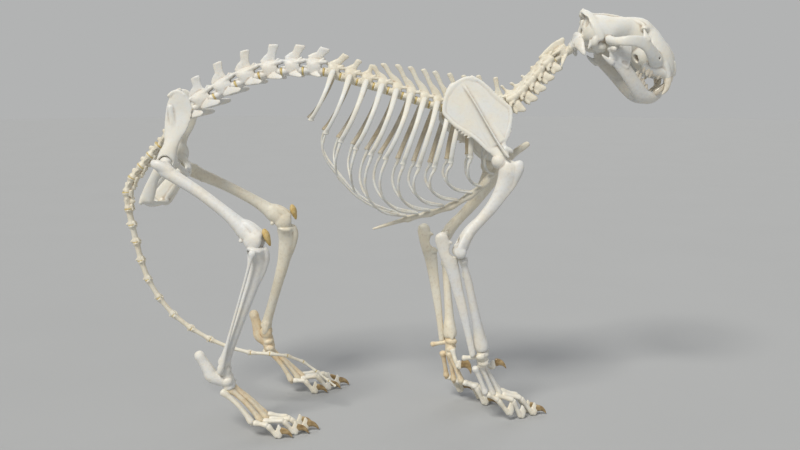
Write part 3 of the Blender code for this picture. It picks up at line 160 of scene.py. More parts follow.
def refined(rows: Rows, steps: int) -> list[list[float]]:
    """Adds rows between the given ones, on a smooth curve through them.

    Args:
        rows: rows of numbers of one length.
        steps: how many rows stand for each one given.

    Returns:
        The longer list of rows.
    """
    if steps < 2 or len(rows) < 3:
        return [list(row) for row in rows]
    out = []
    for i in range(len(rows) - 1):
        before, start = rows[max(i - 1, 0)], rows[i]
        end, after = rows[i + 1], rows[min(i + 2, len(rows) - 1)]
        for k in range(steps):
            t = k / steps
            out.append([
                0.5 * (2 * b + (c - a) * t + (2 * a - 5 * b + 4 * c - d) * t * t
                       + (3 * b - a - 3 * c + d) * t ** 3)
                for a, b, c, d in zip(before, start, end, after)
            ])
    out.append(list(rows[-1]))
    return out


def signed_volume(points: Sequence[Vector], faces: Iterable[Sequence[int]]) -> float:
    """Six times the volume inside the faces, below zero where they point inwards."""
    total = 0.0
    for face in faces:
        first = points[face[0]]
        for second, third in zip(face[1:-1], face[2:]):
            total += first.dot(points[second].cross(points[third]))
    return total


def outward(points: list[Vector], faces: list[tuple[int, ...]]) -> Shape:
    """The same closed shape with its faces pointing outwards."""
    if signed_volume(points, faces) < 0:
        faces = [tuple(reversed(face)) for face in faces]
    return points, faces


def ring_faces(rings: int, sides: int) -> list[tuple[int, ...]]:
    """Faces that join rings of points one after another and close both ends."""
    faces = []
    for low in range(0, (rings - 1) * sides, sides):
        high = low + sides
        faces += [(low + k, low + (k + 1) % sides, high + (k + 1) % sides, high + k) for k in range(sides)]
    return faces + [tuple(reversed(range(sides))), tuple(range((rings - 1) * sides, rings * sides))]


def strand(rows: Rows, wide: Vector, sides: int = 16, steps: int = 4, dome: float = 0.6) -> Shape:
    """A closed tapering bar with rounded ends.

    Args:
        rows: x, y, z of its middle in world metres, then half its size along `wide` and half its
            size across that, both in metres.
        wide: the direction that the first size is measured along.
        sides: corners of its cross section.
        steps: how finely the way between two rows is cut.
        dome: how far the ends bulge, as a share of their smaller half size.

    Returns:
        The points and faces.
    """
    rows = refined(rows, steps)
    last = len(rows) - 1
    centres = [Vector(row[:3]) for row in rows]
    rings: list[tuple[Vector, Vector, float, float]] = []
    for i, row in enumerate(rows):
        tangent = (centres[min(i + 1, last)] - centres[max(i - 1, 0)]).normalized()
        rings.append((centres[i], tangent, max(row[3], THINNEST_BAR), max(row[4], THINNEST_BAR)))
    for at_start in (True, False):
        centre, tangent, half_wide, half_thick = rings[0] if at_start else rings[-1]
        for degrees in (32, 60, 80):
            reach = dome * min(half_wide, half_thick) * math.sin(math.radians(degrees))
            size = math.cos(math.radians(degrees))
            ring = (centre + tangent * (-reach if at_start else reach), tangent, half_wide * size,
                    half_thick * size)
            rings.insert(0 if at_start else len(rings), ring)
    points = []
    for centre, tangent, half_wide, half_thick in rings:
        across = (wide - tangent * wide.dot(tangent)).normalized()
        other = tangent.cross(across)
        for k in range(sides):
            angle = 2 * math.pi * (k + 0.5) / sides
            points.append(centre + across * (half_wide * math.cos(angle))
                          + other * (half_thick * math.sin(angle)))
    return outward(points, ring_faces(len(rings), sides))


class Clay:
    """Overlapping closed lumps in one frame, cast together into one bone."""

    def __init__(self, frame: Frame) -> None:
        """Starts with no lumps, in the given frame."""
        self.frame = frame
        self.lumps: list[Shape] = []
        self.scoops: list[Shape] = []

    def bar(self, rows: Rows, wide: Triple = SIDEWAYS, frame: Frame | None = None, scoop: bool = False,
            **options: Any) -> Clay:
        """Adds a tapering bar.

        Args:
            rows: x, y, z, half size along `wide` and half size across it, in millimetres.
            wide: a direction along the frame's axes.
            frame: another frame for this bar.
            scoop: whether it is taken away in place of added.
            options: sides, steps and dome, as `strand` takes them.

        Returns:
            The clay itself.
        """
        frame = frame or self.frame
        placed = [[*frame.at(*row[:3]), row[3] * MM, row[4] * MM] for row in rows]
        (self.scoops if scoop else self.lumps).append(strand(placed, frame.turn(*wide), **options))
        return self

    def both(self, rows: Rows, wide: Triple = SIDEWAYS, **options: Any) -> Clay:
        """Adds a bar and its mirror image in the frame's middle plane."""
        self.bar(rows, wide, **options)
        return self.bar([(row[0], -row[1], *row[2:]) for row in rows], (wide[0], -wide[1], wide[2]),
                **options)

    def knob(self, centre: Triple, radii: Triple, scoop: bool = False, frame: Frame | None = None) -> Clay:
        """Adds an egg-shaped lump by its centre and its three radii in millimetres."""
        rows = []
        for i in range(9):
            angle = math.pi * (i + 0.4) / 8.8
            rows.append((centre[0] - radii[0] * math.cos(angle), centre[1], centre[2],
                         radii[1] * math.sin(angle), radii[2] * math.sin(angle)))
        return self.bar(rows, SIDEWAYS, frame=frame, scoop=scoop, steps=1, dome=0.3)

    def knobs(self, centre: Triple, radii: Triple, scoop: bool = False) -> Clay:
        """Adds a lump and its mirror image."""
        self.knob(centre, radii, scoop)
        return self.knob((centre[0], -centre[1], centre[2]), radii, scoop)

    def hull(self, stations: Rows, sides: int = 40, steps: int = 4) -> Clay:
        """Adds a body through cross sections that are rounder above or below.

        Args:
            stations: x, bottom, widest height, top, half width, then how square it is (2 is round).
            sides: corners of a cross section.
            steps: how finely the way between two stations is cut.

        Returns:
            The clay itself.
        """
        points: list[Vector] = []
        stations = refined(stations, steps)
        for x, bottom, middle, top, half, square in stations:
            for k in range(sides):
                angle = 2 * math.pi * k / sides
                across = math.copysign(abs(math.cos(angle)) ** (2 / square), math.cos(angle))
                rise = math.copysign(abs(math.sin(angle)) ** (2 / square), math.sin(angle))
                height = top - middle if rise > 0 else middle - bottom
                points.append(self.frame.at(x, half * across, middle + height * rise))
        self.lumps.append(outward(points, ring_faces(len(stations), sides)))
        return self


def mesh_object(name: str, shapes: Iterable[Shape]) -> bpy.types.Object:
    """A new object from one or more shapes, in one mesh.

    Args:
        name: the object's name.
        shapes: points and faces of each shape.

    Returns:
        The object, linked to the scene.
    """
    points: list[Vector] = []
    faces: list[tuple[int, ...]] = []
    for shape_points, shape_faces in shapes:
        faces += [tuple(index + len(points) for index in face) for face in shape_faces]
        points += shape_points
    mesh = bpy.data.meshes.new(name)
    mesh.from_pydata([tuple(point) for point in points], [], faces)
    obj = bpy.data.objects.new(name, mesh)
    bpy.context.scene.collection.objects.link(obj)
    return obj


def points_object(name: str, points: Sequence[Vector], edges: Sequence[tuple[int, int]],
                  values: dict[str, list[float]]) -> bpy.types.Object:
    """A new object of points, with lines between some of them and values on each.

    Args:
        name: the object's name.
        points: the places in metres.
        edges: which points are joined.
        values: each attribute's numbers, one for a point or three for a vector.

    Returns:
        The object, linked to the scene.
    """
    mesh = bpy.data.meshes.new(name)
    mesh.from_pydata([tuple(point) for point in points], edges, [])
    for label, numbers in values.items():
        kind, key = ("FLOAT", "value") if len(numbers) == len(points) else ("FLOAT_VECTOR", "vector")
        mesh.attributes.new(label, kind, "POINT").data.foreach_set(key, numbers)
    obj = bpy.data.objects.new(name, mesh)
    bpy.context.scene.collection.objects.link(obj)
    return obj


def settled(obj: bpy.types.Object) -> bpy.types.Object:
    """Turns what the object's modifiers make of it into its plain mesh.

    Args:
        obj: an object with live modifiers.

    Returns:
        The same object, without modifiers.
    """
    depsgraph = bpy.context.evaluated_depsgraph_get()
    mesh = bpy.data.meshes.new_from_object(obj.evaluated_get(depsgraph), preserve_all_data_layers=True,
                                           depsgraph=depsgraph)
    obj.modifiers.clear()
    old = obj.data
    obj.data = mesh
    mesh.name = obj.name
    bpy.data.meshes.remove(old)
    return obj


def remeshed(obj: bpy.types.Object, voxel: float) -> bpy.types.Object:
    """Melts an object's overlapping parts into one skin of even small faces, voxel in millimetres."""
    modifier = obj.modifiers.new("melt", "REMESH")
    modifier.mode = "VOXEL"
    modifier.voxel_size = voxel * MM
    return settled(obj)


# Node trees


def add(tree: bpy.types.NodeTree, kind: str, settings: dict[str, Any] | None = None,
        **inputs: Any) -> bpy.types.Node:
    """Adds a node with its settings and its links or values.

    Args:
        tree: the tree that gets the node.
        kind: the node's type name.
        settings: attributes of the node itself.
        inputs: a value or an output socket by the input's name, spaces as underscores, or by its
            index as i0, i1 and so on.

    Returns:
        The node.
    """
    node = tree.nodes.new(kind)
    for name, value in (settings or {}).items():
        setattr(node, name, value)
    for name, value in inputs.items():
        if name[0] == "i" and name[1:].isdigit():
            socket = node.inputs[int(name[1:])]
        else:
            wanted = name.replace("_", " ")
            socket = next(s for s in node.inputs if s.name == wanted and s.enabled)
        if isinstance(value, bpy.types.NodeSocket):
            tree.links.new(value, socket)
        else:
            socket.default_value = value
    return node


def geometry_tree(name: str, sockets: Sequence[tuple[str, str]]) -> tuple[bpy.types.NodeTree, Any]:
    """A Geometry Nodes tree with named inputs.

    Args:
        name: the tree's name.
        sockets: each further input's name and socket type.

    Returns:
        The tree and its group input node.
    """
    tree = bpy.data.node_groups.new(name, "GeometryNodeTree")
    tree.interface.new_socket("Geometry", in_out="INPUT", socket_type="NodeSocketGeometry")
    for label, kind in sockets:
        tree.interface.new_socket(label, in_out="INPUT", socket_type=kind)
    tree.interface.new_socket("Geometry", in_out="OUTPUT", socket_type="NodeSocketGeometry")
    return tree, tree.nodes.new("NodeGroupInput")


def finish_tree(tree: bpy.types.NodeTree, geometry: Any, material: Any) -> None:
    """Ends a tree in Realize Instances, smooth shading and Set Material."""
    solid = add(tree, "GeometryNodeRealizeInstances", i0=geometry).outputs[0]
    smooth = add(tree, "GeometryNodeSetShadeSmooth", Geometry=solid).outputs[0]
    dressed = add(tree, "GeometryNodeSetMaterial", Geometry=smooth, Material=material).outputs[0]
    out = tree.nodes.new("NodeGroupOutput")
    tree.links.new(dressed, out.inputs[0])


def run_tree(obj: bpy.types.Object, tree: bpy.types.NodeTree, values: dict[str, Any]) -> bpy.types.Object:
    """Runs a Geometry Nodes tree on an object and keeps the result as its plain mesh.

    Args:
        obj: the object that the tree starts from.
        tree: the tree.
        values: each named input's value.

    Returns:
        The same object.
    """
    modifier = obj.modifiers.new("nodes", "NODES")
    modifier.node_group = tree
    for item in tree.interface.items_tree:
        if getattr(item, "in_out", "") == "INPUT" and item.name in values:
            modifier[item.identifier] = values[item.name]
    return settled(obj)


def maths(tree: bpy.types.NodeTree, operation: str, *values: Any) -> Any:
    """The result of a sum with numbers or output sockets."""
    inputs = {"i%d" % i: value for i, value in enumerate(values)}
    return add(tree, "ShaderNodeMath", {"operation": operation}, **inputs).outputs[0]


def vector_maths(tree: bpy.types.NodeTree, operation: str, first: Any, second: Any) -> Any:
    """The result of a sum with two vectors, or with a vector and its scale."""
    second_name = "Scale" if operation == "SCALE" else "i1"
    node = add(tree, "ShaderNodeVectorMath", {"operation": operation}, i0=first, **{second_name: second})
    return node.outputs[1 if operation == "DOT_PRODUCT" else 0]


def enabled(node: bpy.types.Node) -> Any:
    """The output that a node's settings leave switched on."""
    return next(socket for socket in node.outputs if socket.enabled)


def stored(tree: bpy.types.NodeTree, name: str, kind: str) -> Any:
    """The output that reads a named attribute."""
    return enabled(add(tree, "GeometryNodeInputNamedAttribute", {"data_type": kind}, Name=name))


def stored_on(tree: bpy.types.NodeTree, geometry: Any, name: str, value: Any, kind: str) -> Any:
    """The geometry with a value kept on its points."""
    return add(tree, "GeometryNodeStoreNamedAttribute", {"data_type": kind, "domain": "POINT"},
               Geometry=geometry, Name=name, Value=value).outputs[0]


def grained(tree: bpy.types.NodeTree, given: Any, geometry: Any, detail: float, roughness: float,
            swell: Any = 0.0) -> None:
    """Ends a tree in a fine uneven grain along its normals, and in its material.

    Args:
        tree: the tree.
        given: its group input node, with the grain's height and scale and the material.
        geometry: the surface that gets the grain.
        detail: of the noise.
        roughness: of the noise.
        swell: how far the surface moves outwards everywhere, in metres.
    """
    noise = add(tree, "ShaderNodeTexNoise", {"noise_dimensions": "3D"}, Scale=given.outputs["Grain scale"],
                Detail=detail, Roughness=roughness).outputs[0]
    centred = maths(tree, "SUBTRACT", noise, 0.5)
    height = maths(tree, "MULTIPLY_ADD", centred, given.outputs["Grain height"], swell)
    lift = vector_maths(tree, "SCALE", add(tree, "GeometryNodeInputNormal").outputs[0], height)
    rough = add(tree, "GeometryNodeSetPosition", Geometry=geometry, Offset=lift).outputs[0]
    finish_tree(tree, rough, given.outputs["Material"])


def surface_tree() -> bpy.types.NodeTree:
    """The tree that turns a cast lump into a bone's skin.

    It smooths the skin, keeps how hollow each place is, for the materials' painted shade in hollows, and
    raises a fine uneven grain.
    """
    tree, given = geometry_tree("bone_surface", [
        ("Smoothing", "NodeSocketInt"), ("Swell", "NodeSocketFloat"), ("Grain height", "NodeSocketFloat"),
        ("Grain scale", "NodeSocketFloat"), ("Material", "NodeSocketMaterial")])
    place = add(tree, "GeometryNodeInputPosition").outputs[0]
    soft, wide = (enabled(add(tree, "GeometryNodeBlurAttribute", {"data_type": "FLOAT_VECTOR"}, Value=place,
                              Iterations=times)) for times in (given.outputs["Smoothing"], HOLLOW_STEPS))
    skin = add(tree, "GeometryNodeSetPosition", Geometry=given.outputs["Geometry"],
               Position=soft).outputs[0]
    gap = vector_maths(tree, "SUBTRACT", wide, place)
    hollow = vector_maths(tree, "DOT_PRODUCT", gap, add(tree, "GeometryNodeInputNormal").outputs[0])
    kept = stored_on(tree, skin, "hollow", maths(tree, "DIVIDE", hollow, HOLLOW_DEPTH), "FLOAT")
    grained(tree, given, kept, detail=3.0, roughness=0.55, swell=given.outputs["Swell"])
    return tree


def sweep_tree() -> bpy.types.NodeTree:
    """The tree that sweeps an oval along each line of points.

    Each point carries "radius", how many times wider than thick the oval is, "aspect", and the
    direction of its wide way, "flat".
    """
    tree, given = geometry_tree("oval_sweep", [
        ("Sides", "NodeSocketInt"), ("Grain height", "NodeSocketFloat"), ("Grain scale", "NodeSocketFloat"),
        ("Material", "NodeSocketMaterial")])
    curve = add(tree, "GeometryNodeMeshToCurve", Mesh=given.outputs["Geometry"]).outputs[0]
    place = add(tree, "GeometryNodeInputPosition").outputs[0]
    marked = stored_on(tree, curve, "middle", place, "FLOAT_VECTOR")
    radius = stored(tree, "radius", "FLOAT")
    sized = add(tree, "GeometryNodeSetCurveRadius", Curve=marked, Radius=radius).outputs[0]
    ring = add(tree, "GeometryNodeCurvePrimitiveCircle", {"mode": "RADIUS"},
               Resolution=given.outputs["Sides"], Radius=1.0).outputs[0]
    tube = add(tree, "GeometryNodeCurveToMesh", Curve=sized, Profile_Curve=ring, Fill_Caps=True)
    for socket in tube.inputs:
        if socket.name == "Scale" and socket.enabled:
            tree.links.new(radius, socket)
    # The round tube is then stretched along its flat way.
    away = vector_maths(tree, "SUBTRACT", place, stored(tree, "middle", "FLOAT_VECTOR"))
    flat = stored(tree, "flat", "FLOAT_VECTOR")
    more = maths(tree, "SUBTRACT", stored(tree, "aspect", "FLOAT"), 1.0)
    grow = maths(tree, "MULTIPLY", vector_maths(tree, "DOT_PRODUCT", away, flat), more)
    push = vector_maths(tree, "SCALE", flat, grow)
    oval = add(tree, "GeometryNodeSetPosition", Geometry=tube.outputs[0], Offset=push).outputs[0]
    grained(tree, given, oval, detail=2.0, roughness=0.5)
    return tree


def scatter_tree() -> bpy.types.NodeTree:
    """The tree that sets one shape on every point, turned by "turn" and sized by "size"."""
    tree, given = geometry_tree("set_on_points", [
        ("Shape", "NodeSocketObject"), ("Material", "NodeSocketMaterial")])
    source = add(tree, "GeometryNodeObjectInfo", {"transform_space": "ORIGINAL"},
            Object=given.outputs["Shape"])
    shape = next(socket for socket in source.outputs if socket.name == "Geometry")
    points = add(tree, "GeometryNodeMeshToPoints", Mesh=given.outputs["Geometry"]).outputs[0]
    turn, size = (stored(tree, name, "FLOAT_VECTOR") for name in ("turn", "size"))
    angle = add(tree, "FunctionNodeEulerToRotation", Euler=turn).outputs[0]
    placed = add(tree, "GeometryNodeInstanceOnPoints", Points=points, Instance=shape, Rotation=angle,
                 Scale=size).outputs[0]
    finish_tree(tree, placed, given.outputs["Material"])
    return tree


# Finishes


def linear(code: str) -> tuple[float, float, float, float]:
    """A linear colour with full cover from an sRGB hex code."""
    values = [int(code[i:i + 2], 16) / 255 for i in (1, 3, 5)]
    red, green, blue = (v / 12.92 if v <= 0.04045 else ((v + 0.055) / 1.055) ** 2.4 for v in values)
    return red, green, blue, 1.0


def per_metre(size_mm: float) -> float:
    """The texture scale at which a pattern repeats about every so many millimetres."""
    return 1000.0 / size_mm


class Shading:
    """A new material's nodes, from the place on the object to the shader."""

    def __init__(self, name: str) -> None:
        """Makes the material, and the place that its textures start from."""
        self.material = bpy.data.materials.new(name)
        self.material.use_nodes = True
        self.tree = self.material.node_tree
        self.place = add(self.tree, "ShaderNodeTexCoord").outputs["Object"]

    def cloud(self, size_mm: float, detail: float, roughness: float = 0.5) -> Any:
        """Noise with clouds of about this size."""
        return add(self.tree, "ShaderNodeTexNoise", Vector=self.place, Scale=per_metre(size_mm),
                   Detail=detail, Roughness=roughness).outputs[0]

    def cells(self, feature: str, size_mm: float) -> Any:
        """Cells of about this size: how far each place is from their middles or their borders."""
        return add(self.tree, "ShaderNodeTexVoronoi", {"feature": feature}, Vector=self.place,
                   Scale=per_metre(size_mm)).outputs[0]

    def hollow(self) -> Any:
        """How hollow each place of the skin is."""
        return add(self.tree, "ShaderNodeAttribute", {"attribute_name": "hollow"}).outputs["Fac"]

    def mapped(self, value: Any, low: float, high: float, start: float = 0.0, end: float = 1.0) -> Any:
        """A value moved from the range low to high into the range start to end."""
        return add(self.tree, "ShaderNodeMapRange", i0=value, i1=low, i2=high, i3=start, i4=end).outputs[0]

    def blend(self, share: Any, first: Any, second: Any) -> Any:
        """A colour between two, each a hex code or an output socket."""
        first, second = (linear(colour) if isinstance(colour, str) else colour
                for colour in (first, second))
        return add(self.tree, "ShaderNodeMix", {"data_type": "RGBA"}, i0=share, i6=first,
                   i7=second).outputs[2]

    def bump(self, height: Any, depth_mm: float, strength: float) -> Any:
        """Fine relief that only bends the light."""
        return add(self.tree, "ShaderNodeBump", Height=height, Distance=depth_mm * MM,
                   Strength=strength).outputs[0]

    def finished(self, **inputs: Any) -> bpy.types.Material:
        """Gives the shader its values and links, by each input's name with spaces as underscores."""
        shader = self.tree.nodes["Principled BSDF"]
        for name, value in inputs.items():
            socket = shader.inputs[name.replace("_", " ")]
            if isinstance(value, bpy.types.NodeSocket):
                self.tree.links.new(value, socket)
            else:
                socket.default_value = value
        return self.material


@dataclass(frozen=True)
class DryBone:
    """Degreased, bleached bone: chalky ivory, a little waxy on its ridges, stained tan in clouds, and with
    tan painted shade in its hollows.

    Fields:
        name: the material's name.
        ivory: the colour of the smooth faces.
        cool: the paler, bluish colour of thin plates.
        stain: the colour of real stains on open faces, and of the painted shade in hollows and round roots.
        blotch_mm: size of the slow changes between ivory and cool.
        stained: how much of the stain shows on open faces.
        roughness: of the smooth faces.
    """

    name: str
    ivory: str = "#E4DDCB"
    cool: str = "#E2E0D6"
    stain: str = "#8E6E45"
    blotch_mm: float = 38.0
    stained: float = 0.10
    roughness: float = 0.48

    def material(self) -> bpy.types.Material:
        """Builds the material."""
        make = Shading(self.name)
        slow = make.cloud(self.blotch_mm, 3.0, 0.6)
        face = make.blend(make.mapped(slow, 0.38, 0.64), self.ivory, self.cool)
        # Painted shade: the hollows darken towards the stain colour, broken up by clouds a few millimetres
        # wide; the same clouds leave real stains of old grease and glue on open faces.
        cloud = make.cloud(7.0, 4.0, 0.65)
        deep = make.mapped(make.hollow(), 0.05, 0.9)
        hollow_shade = maths(make.tree, "MULTIPLY", deep, make.mapped(cloud, 0.3, 0.75, 0.35, 1.1))
        open_face = make.mapped(cloud, 0.5, 0.8, 0.0, self.stained * 2)
        stain_and_hollow_shade = maths(make.tree, "MINIMUM", maths(make.tree, "MAXIMUM", hollow_shade, open_face), 0.85)
        # Vessel pores are about 0.1 mm across; they are drawn 2.6 mm apart so that they show.
        pore = make.mapped(make.cells("F1", 2.6), 0.05, 0.22)
        relief = maths(make.tree, "MULTIPLY_ADD", pore, 0.35, make.cloud(1.2, 3.0))
        return make.finished(
            # The stain colour shows both the real stains and the painted shade in the hollows.
            Base_Color=make.blend(stain_and_hollow_shade, face, self.stain),
            Roughness=make.mapped(cloud, 0.3, 0.7, self.roughness - 0.06, self.roughness + 0.14),
            Normal=make.bump(relief, 0.12, 0.5), IOR=1.55, Subsurface_Weight=0.06,
            Subsurface_Radius=(0.004, 0.003, 0.002), Subsurface_Scale=0.5)


@dataclass(frozen=True)
class DryGristle:
    """Dried cartilage: translucent yellow horn-like stuff, smoother and deeper in colour than bone."""

    name: str
    light: str = "#DCCB90"
    dark: str = "#C2A560"
    clump_mm: float = 6.0
    roughness: float = 0.40

    def material(self) -> bpy.types.Material:
        """Builds the material."""
        make = Shading(self.name)
        share = make.mapped(make.cloud(self.clump_mm, 4.0, 0.6), 0.35, 0.68)
        # Dried fibres leave creases under a millimetre wide, drawn 1.5 mm apart so that they show.
        crease = make.cloud(1.5, 2.0)
        return make.finished(
            Base_Color=make.blend(share, self.light, self.dark), Normal=make.bump(crease, 0.2, 0.5),
            Roughness=self.roughness, IOR=1.5, Subsurface_Weight=0.05,
            Subsurface_Radius=(0.005, 0.003, 0.001), Subsurface_Scale=0.5)


@dataclass(frozen=True)
class HornSheath:
    """The claw's keratin sheath: layered brown horn, glossy and cloudy."""

    name: str = "claw_horn"
    pale: str = "#B59C70"
    deep: str = "#7C6239"
    layer_mm: float = 4.5
    roughness: float = 0.28

    def material(self) -> bpy.types.Material:
        """Builds the material."""
        make = Shading(self.name)
        # Growth layers: light and dark bands, each about layer_mm wide.
        layer = add(make.tree, "ShaderNodeTexWave", {"wave_type": "BANDS", "bands_direction": "Z"},
                    Vector=make.place, Scale=per_metre(self.layer_mm) * WAVE_BAND, Distortion=3.0,
                    Detail=2.0).outputs[1]
        mixed = maths(make.tree, "MULTIPLY_ADD", layer, 0.12, make.cloud(9.0, 3.0))
        return make.finished(
            Base_Color=make.blend(make.mapped(mixed, 0.35, 0.75), self.deep, self.pale),
            Normal=make.bump(layer, 0.08, 0.4), Roughness=self.roughness, IOR=1.55, Coat_Weight=0.3,
            Coat_Roughness=0.2)


@dataclass(frozen=True)
class Enamel:
    """Tooth enamel: hard, glossy ivory, clouded with a pinkish root colour that is also painted into its
    fissures and round its roots as shade.
    """

    name: str = "tooth_enamel"
    crown: str = "#E6DFCF"
    root: str = "#C4AA88"
    roughness: float = 0.22

    def material(self) -> bpy.types.Material:
        """Builds the material."""
        make = Shading(self.name)
        # Painted shade: the root colour fills the hollows; the clouds of it on open faces are the enamel's
        # own tone.
        deep = make.mapped(make.hollow(), 0.0, 0.6, 0.0, 0.9)
        light = make.mapped(make.cloud(8.0, 4.0), 0.4, 0.8, 0.0, 0.5)
        share = maths(make.tree, "MAXIMUM", deep, light)
        # Hairline cracks run down old enamel, drawn 3 mm apart.
        crack = make.mapped(make.cells("DISTANCE_TO_EDGE", 3.0), 0.0, 0.04)
        return make.finished(
            Base_Color=make.blend(share, self.crown, self.root), Normal=make.bump(crack, 0.05, 0.3),
            Roughness=self.roughness, IOR=1.62, Coat_Weight=0.25, Coat_Roughness=0.12)


@dataclass(frozen=True)
class StudioFloor:
    """Matt painted board: pale, its tone a little uneven."""

    name: str = "studio_board"
    paint: str = "#ADAFB1"
    shade: str = "#AAACAE"

    def material(self) -> bpy.types.Material:
        """Builds the material."""
        make = Shading(self.name)
        return make.finished(Base_Color=make.blend(make.cloud(400.0, 2.0), self.paint, self.shade),
                Roughness=0.85)


@dataclass
class Finishes:
    """All the materials of the skeleton, each built once."""

    bone: bpy.types.Material
    blade_bone: bpy.types.Material
    warm_bone: bpy.types.Material
    far_rib_painted_shade: bpy.types.Material
    foot_bone: bpy.types.Material
    toe_bone: bpy.types.Material
    rib_cartilage: bpy.types.Material
    gristle: bpy.types.Material
    knee_cap: bpy.types.Material
    horn: bpy.types.Material
    enamel: bpy.types.Material

    @classmethod
    def build(cls) -> Finishes:
        """Builds every material."""
        # shaded_rib_bone is a darker tan copy of the rib bone: painted shade for the far ribs.
        finishes = {"bone": DryBone("limb_bone", ivory="#E4E0D6", cool="#DFE0DF"),
                    "blade_bone": DryBone("blade_bone", ivory="#E6E2D6", cool="#E2E3E0", stained=0.05),
                    "warm_bone": DryBone("spine_bone", ivory="#E2DAC6", cool="#E2DED0", stain="#8A6433",
                stained=0.14), "far_rib_painted_shade": DryBone("shaded_rib_bone", ivory="#CDBFA3", cool="#C9C2B2",
                stain="#84653F", stained=0.2), "foot_bone": DryBone("foot_bone", ivory="#DFC8A0",
                cool="#E1D8C2", stain="#A8743E", stained=0.22), "toe_bone": DryBone("toe_bone",
                ivory="#E6DFCD", cool="#E4E2DA", stain="#8E6E45", stained=0.1),
                    "rib_cartilage": DryBone("rib_cartilage", ivory="#E0DCD0", cool="#DEE0DE",
                stain="#8A7150", blotch_mm=16.0, stained=0.10, roughness=0.42),
                    "gristle": DryGristle("disc_gristle"), "knee_cap": DryGristle("knee_cap_bone",
                light="#DCC58C", dark="#BC9C58", roughness=0.5), "horn": HornSheath(), "enamel": Enamel(),}
        return cls(**{name: finish.material() for name, finish in finishes.items()})


class Museum:
    """Casts pieces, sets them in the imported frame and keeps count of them."""

    def __init__(self, finishes: Finishes) -> None:
        """Builds the node trees that all pieces share."""
        self.finishes = finishes
        self.surface = surface_tree()
        self.sweep = sweep_tree()
        self.scatter = scatter_tree()
        self.triangles = 0

    def cast(self, name: str, clays: Clay | Sequence[Clay], material: bpy.types.Material,
             voxel: float = 1.2, smoothing: int = 4, grain: float = 0.5, grain_mm: float = 5.0,
             swell: float = 0.45) -> bpy.types.Object:
        """Melts the lumps of one or more clays into one skin and finishes it.

        Args:
            name: the piece's name.
            clays: what the piece is made of.
            material: its finish.
            voxel: size of the skin's faces in millimetres.
            smoothing: how often the skin is smoothed.
            grain: height of its unevenness in millimetres.
            grain_mm: size of the unevenness along the skin.
            swell: how far the skin is moved outwards, to make up for the smoothing, in millimetres.

        Returns:
            The piece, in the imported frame.
        """
        clays = [clays] if isinstance(clays, Clay) else list(clays)
        piece = remeshed(mesh_object(name, [lump for clay in clays for lump in clay.lumps]), voxel)
        scoops = [scoop for clay in clays for scoop in clay.scoops]
        if scoops:
            tool = remeshed(mesh_object("tool", scoops), voxel)
            modifier = piece.modifiers.new("scoop", "BOOLEAN")
            modifier.operation, modifier.solver, modifier.object = "DIFFERENCE", "MANIFOLD", tool
            settled(piece)
            bpy.data.objects.remove(tool)
            remeshed(piece, voxel)
        run_tree(piece, self.surface, {"Smoothing": smoothing, "Swell": swell * MM,
                "Grain height": grain * MM, "Grain scale": per_metre(grain_mm), "Material": material})
        return self.placed(piece)

    def swept(self, name: str, lines: Sequence[Sequence[Row]], flats: Sequence[Vector],
              material: bpy.types.Material, sides: int = 14, grain: float = 0.3,
              grain_mm: float = 6.0) -> bpy.types.Object:
        """Sweeps ovals along lines.

        Args:
            name: the piece's name.
            lines: for each line its rows: x, y, z, half width along the line's flat way, half thickness.
            flats: each line's flat way.
            material: the finish.
            sides: corners of the oval.
            grain: height of the unevenness in millimetres.
            grain_mm: size of the unevenness along the surface.

        Returns:
            The piece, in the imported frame.
        """
        points: list[Vector] = []
        edges: list[tuple[int, int]] = []
        values: dict[str, list[float]] = {"radius": [], "aspect": [], "flat": []}
        for rows, flat in zip(lines, flats):
            start = len(points)
            for row in rows:
                points.append(Vector(row[:3]))
                thick = max(row[4], THINNEST_OVAL)
                values["radius"].append(thick)
                values["aspect"].append(row[3] / thick)
                values["flat"] += list(flat)
            edges += [(i, i + 1) for i in range(start, len(points) - 1)]
        piece = points_object(name, points, edges, values)
        run_tree(piece, self.sweep, {"Sides": sides, "Grain height": grain * MM,
                "Grain scale": per_metre(grain_mm), "Material": material})
        return self.placed(piece)

    def scattered(self, name: str, shape: Shape, places: Sequence[Place],
                  material: bpy.types.Material) -> bpy.types.Object:
        """Sets a shape on many places.

        Args:
            name: the piece's name.
            shape: points and faces, in metres round the origin.
            places: each place, its turning matrix and its size along the shape's own axes.
            material: the finish.

        Returns:
            The piece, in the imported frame.
        """
        pattern = mesh_object(name + "_pattern", [shape])
        piece = points_object(name, [place for place, _, _ in places], [], {
            "turn": [value for _, turn, _ in places for value in turn.to_euler("XYZ")],
            "size": [value for _, _, size in places for value in size]})
        run_tree(piece, self.scatter, {"Shape": pattern, "Material": material})
        bpy.data.objects.remove(pattern)
        return self.placed(piece)

    def placed(self, piece: bpy.types.Object) -> bpy.types.Object:
        """Moves a piece's mesh from the design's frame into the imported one."""
        piece.data.transform(Matrix.Translation(-CENTRING))
        return piece

    def show(self, piece: bpy.types.Object, *nodes: str, slot: str = "bone") -> bpy.types.Object:
        """Hangs a piece on the model, in place of the named solids.

        Args:
            piece: the finished piece.
            nodes: the solids that it stands for.
            slot: not used.

        Returns:
            The piece.
        """
        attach(piece, "root")
        if nodes:
            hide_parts(*nodes)
        faces = sum(len(polygon.vertices) - 2 for polygon in piece.data.polygons)
        self.triangles += faces
        LOG.info("%s: %d triangles%s", piece.name, faces, ", for " + ", ".join(nodes) if nodes else "")
        return piece


# The spine


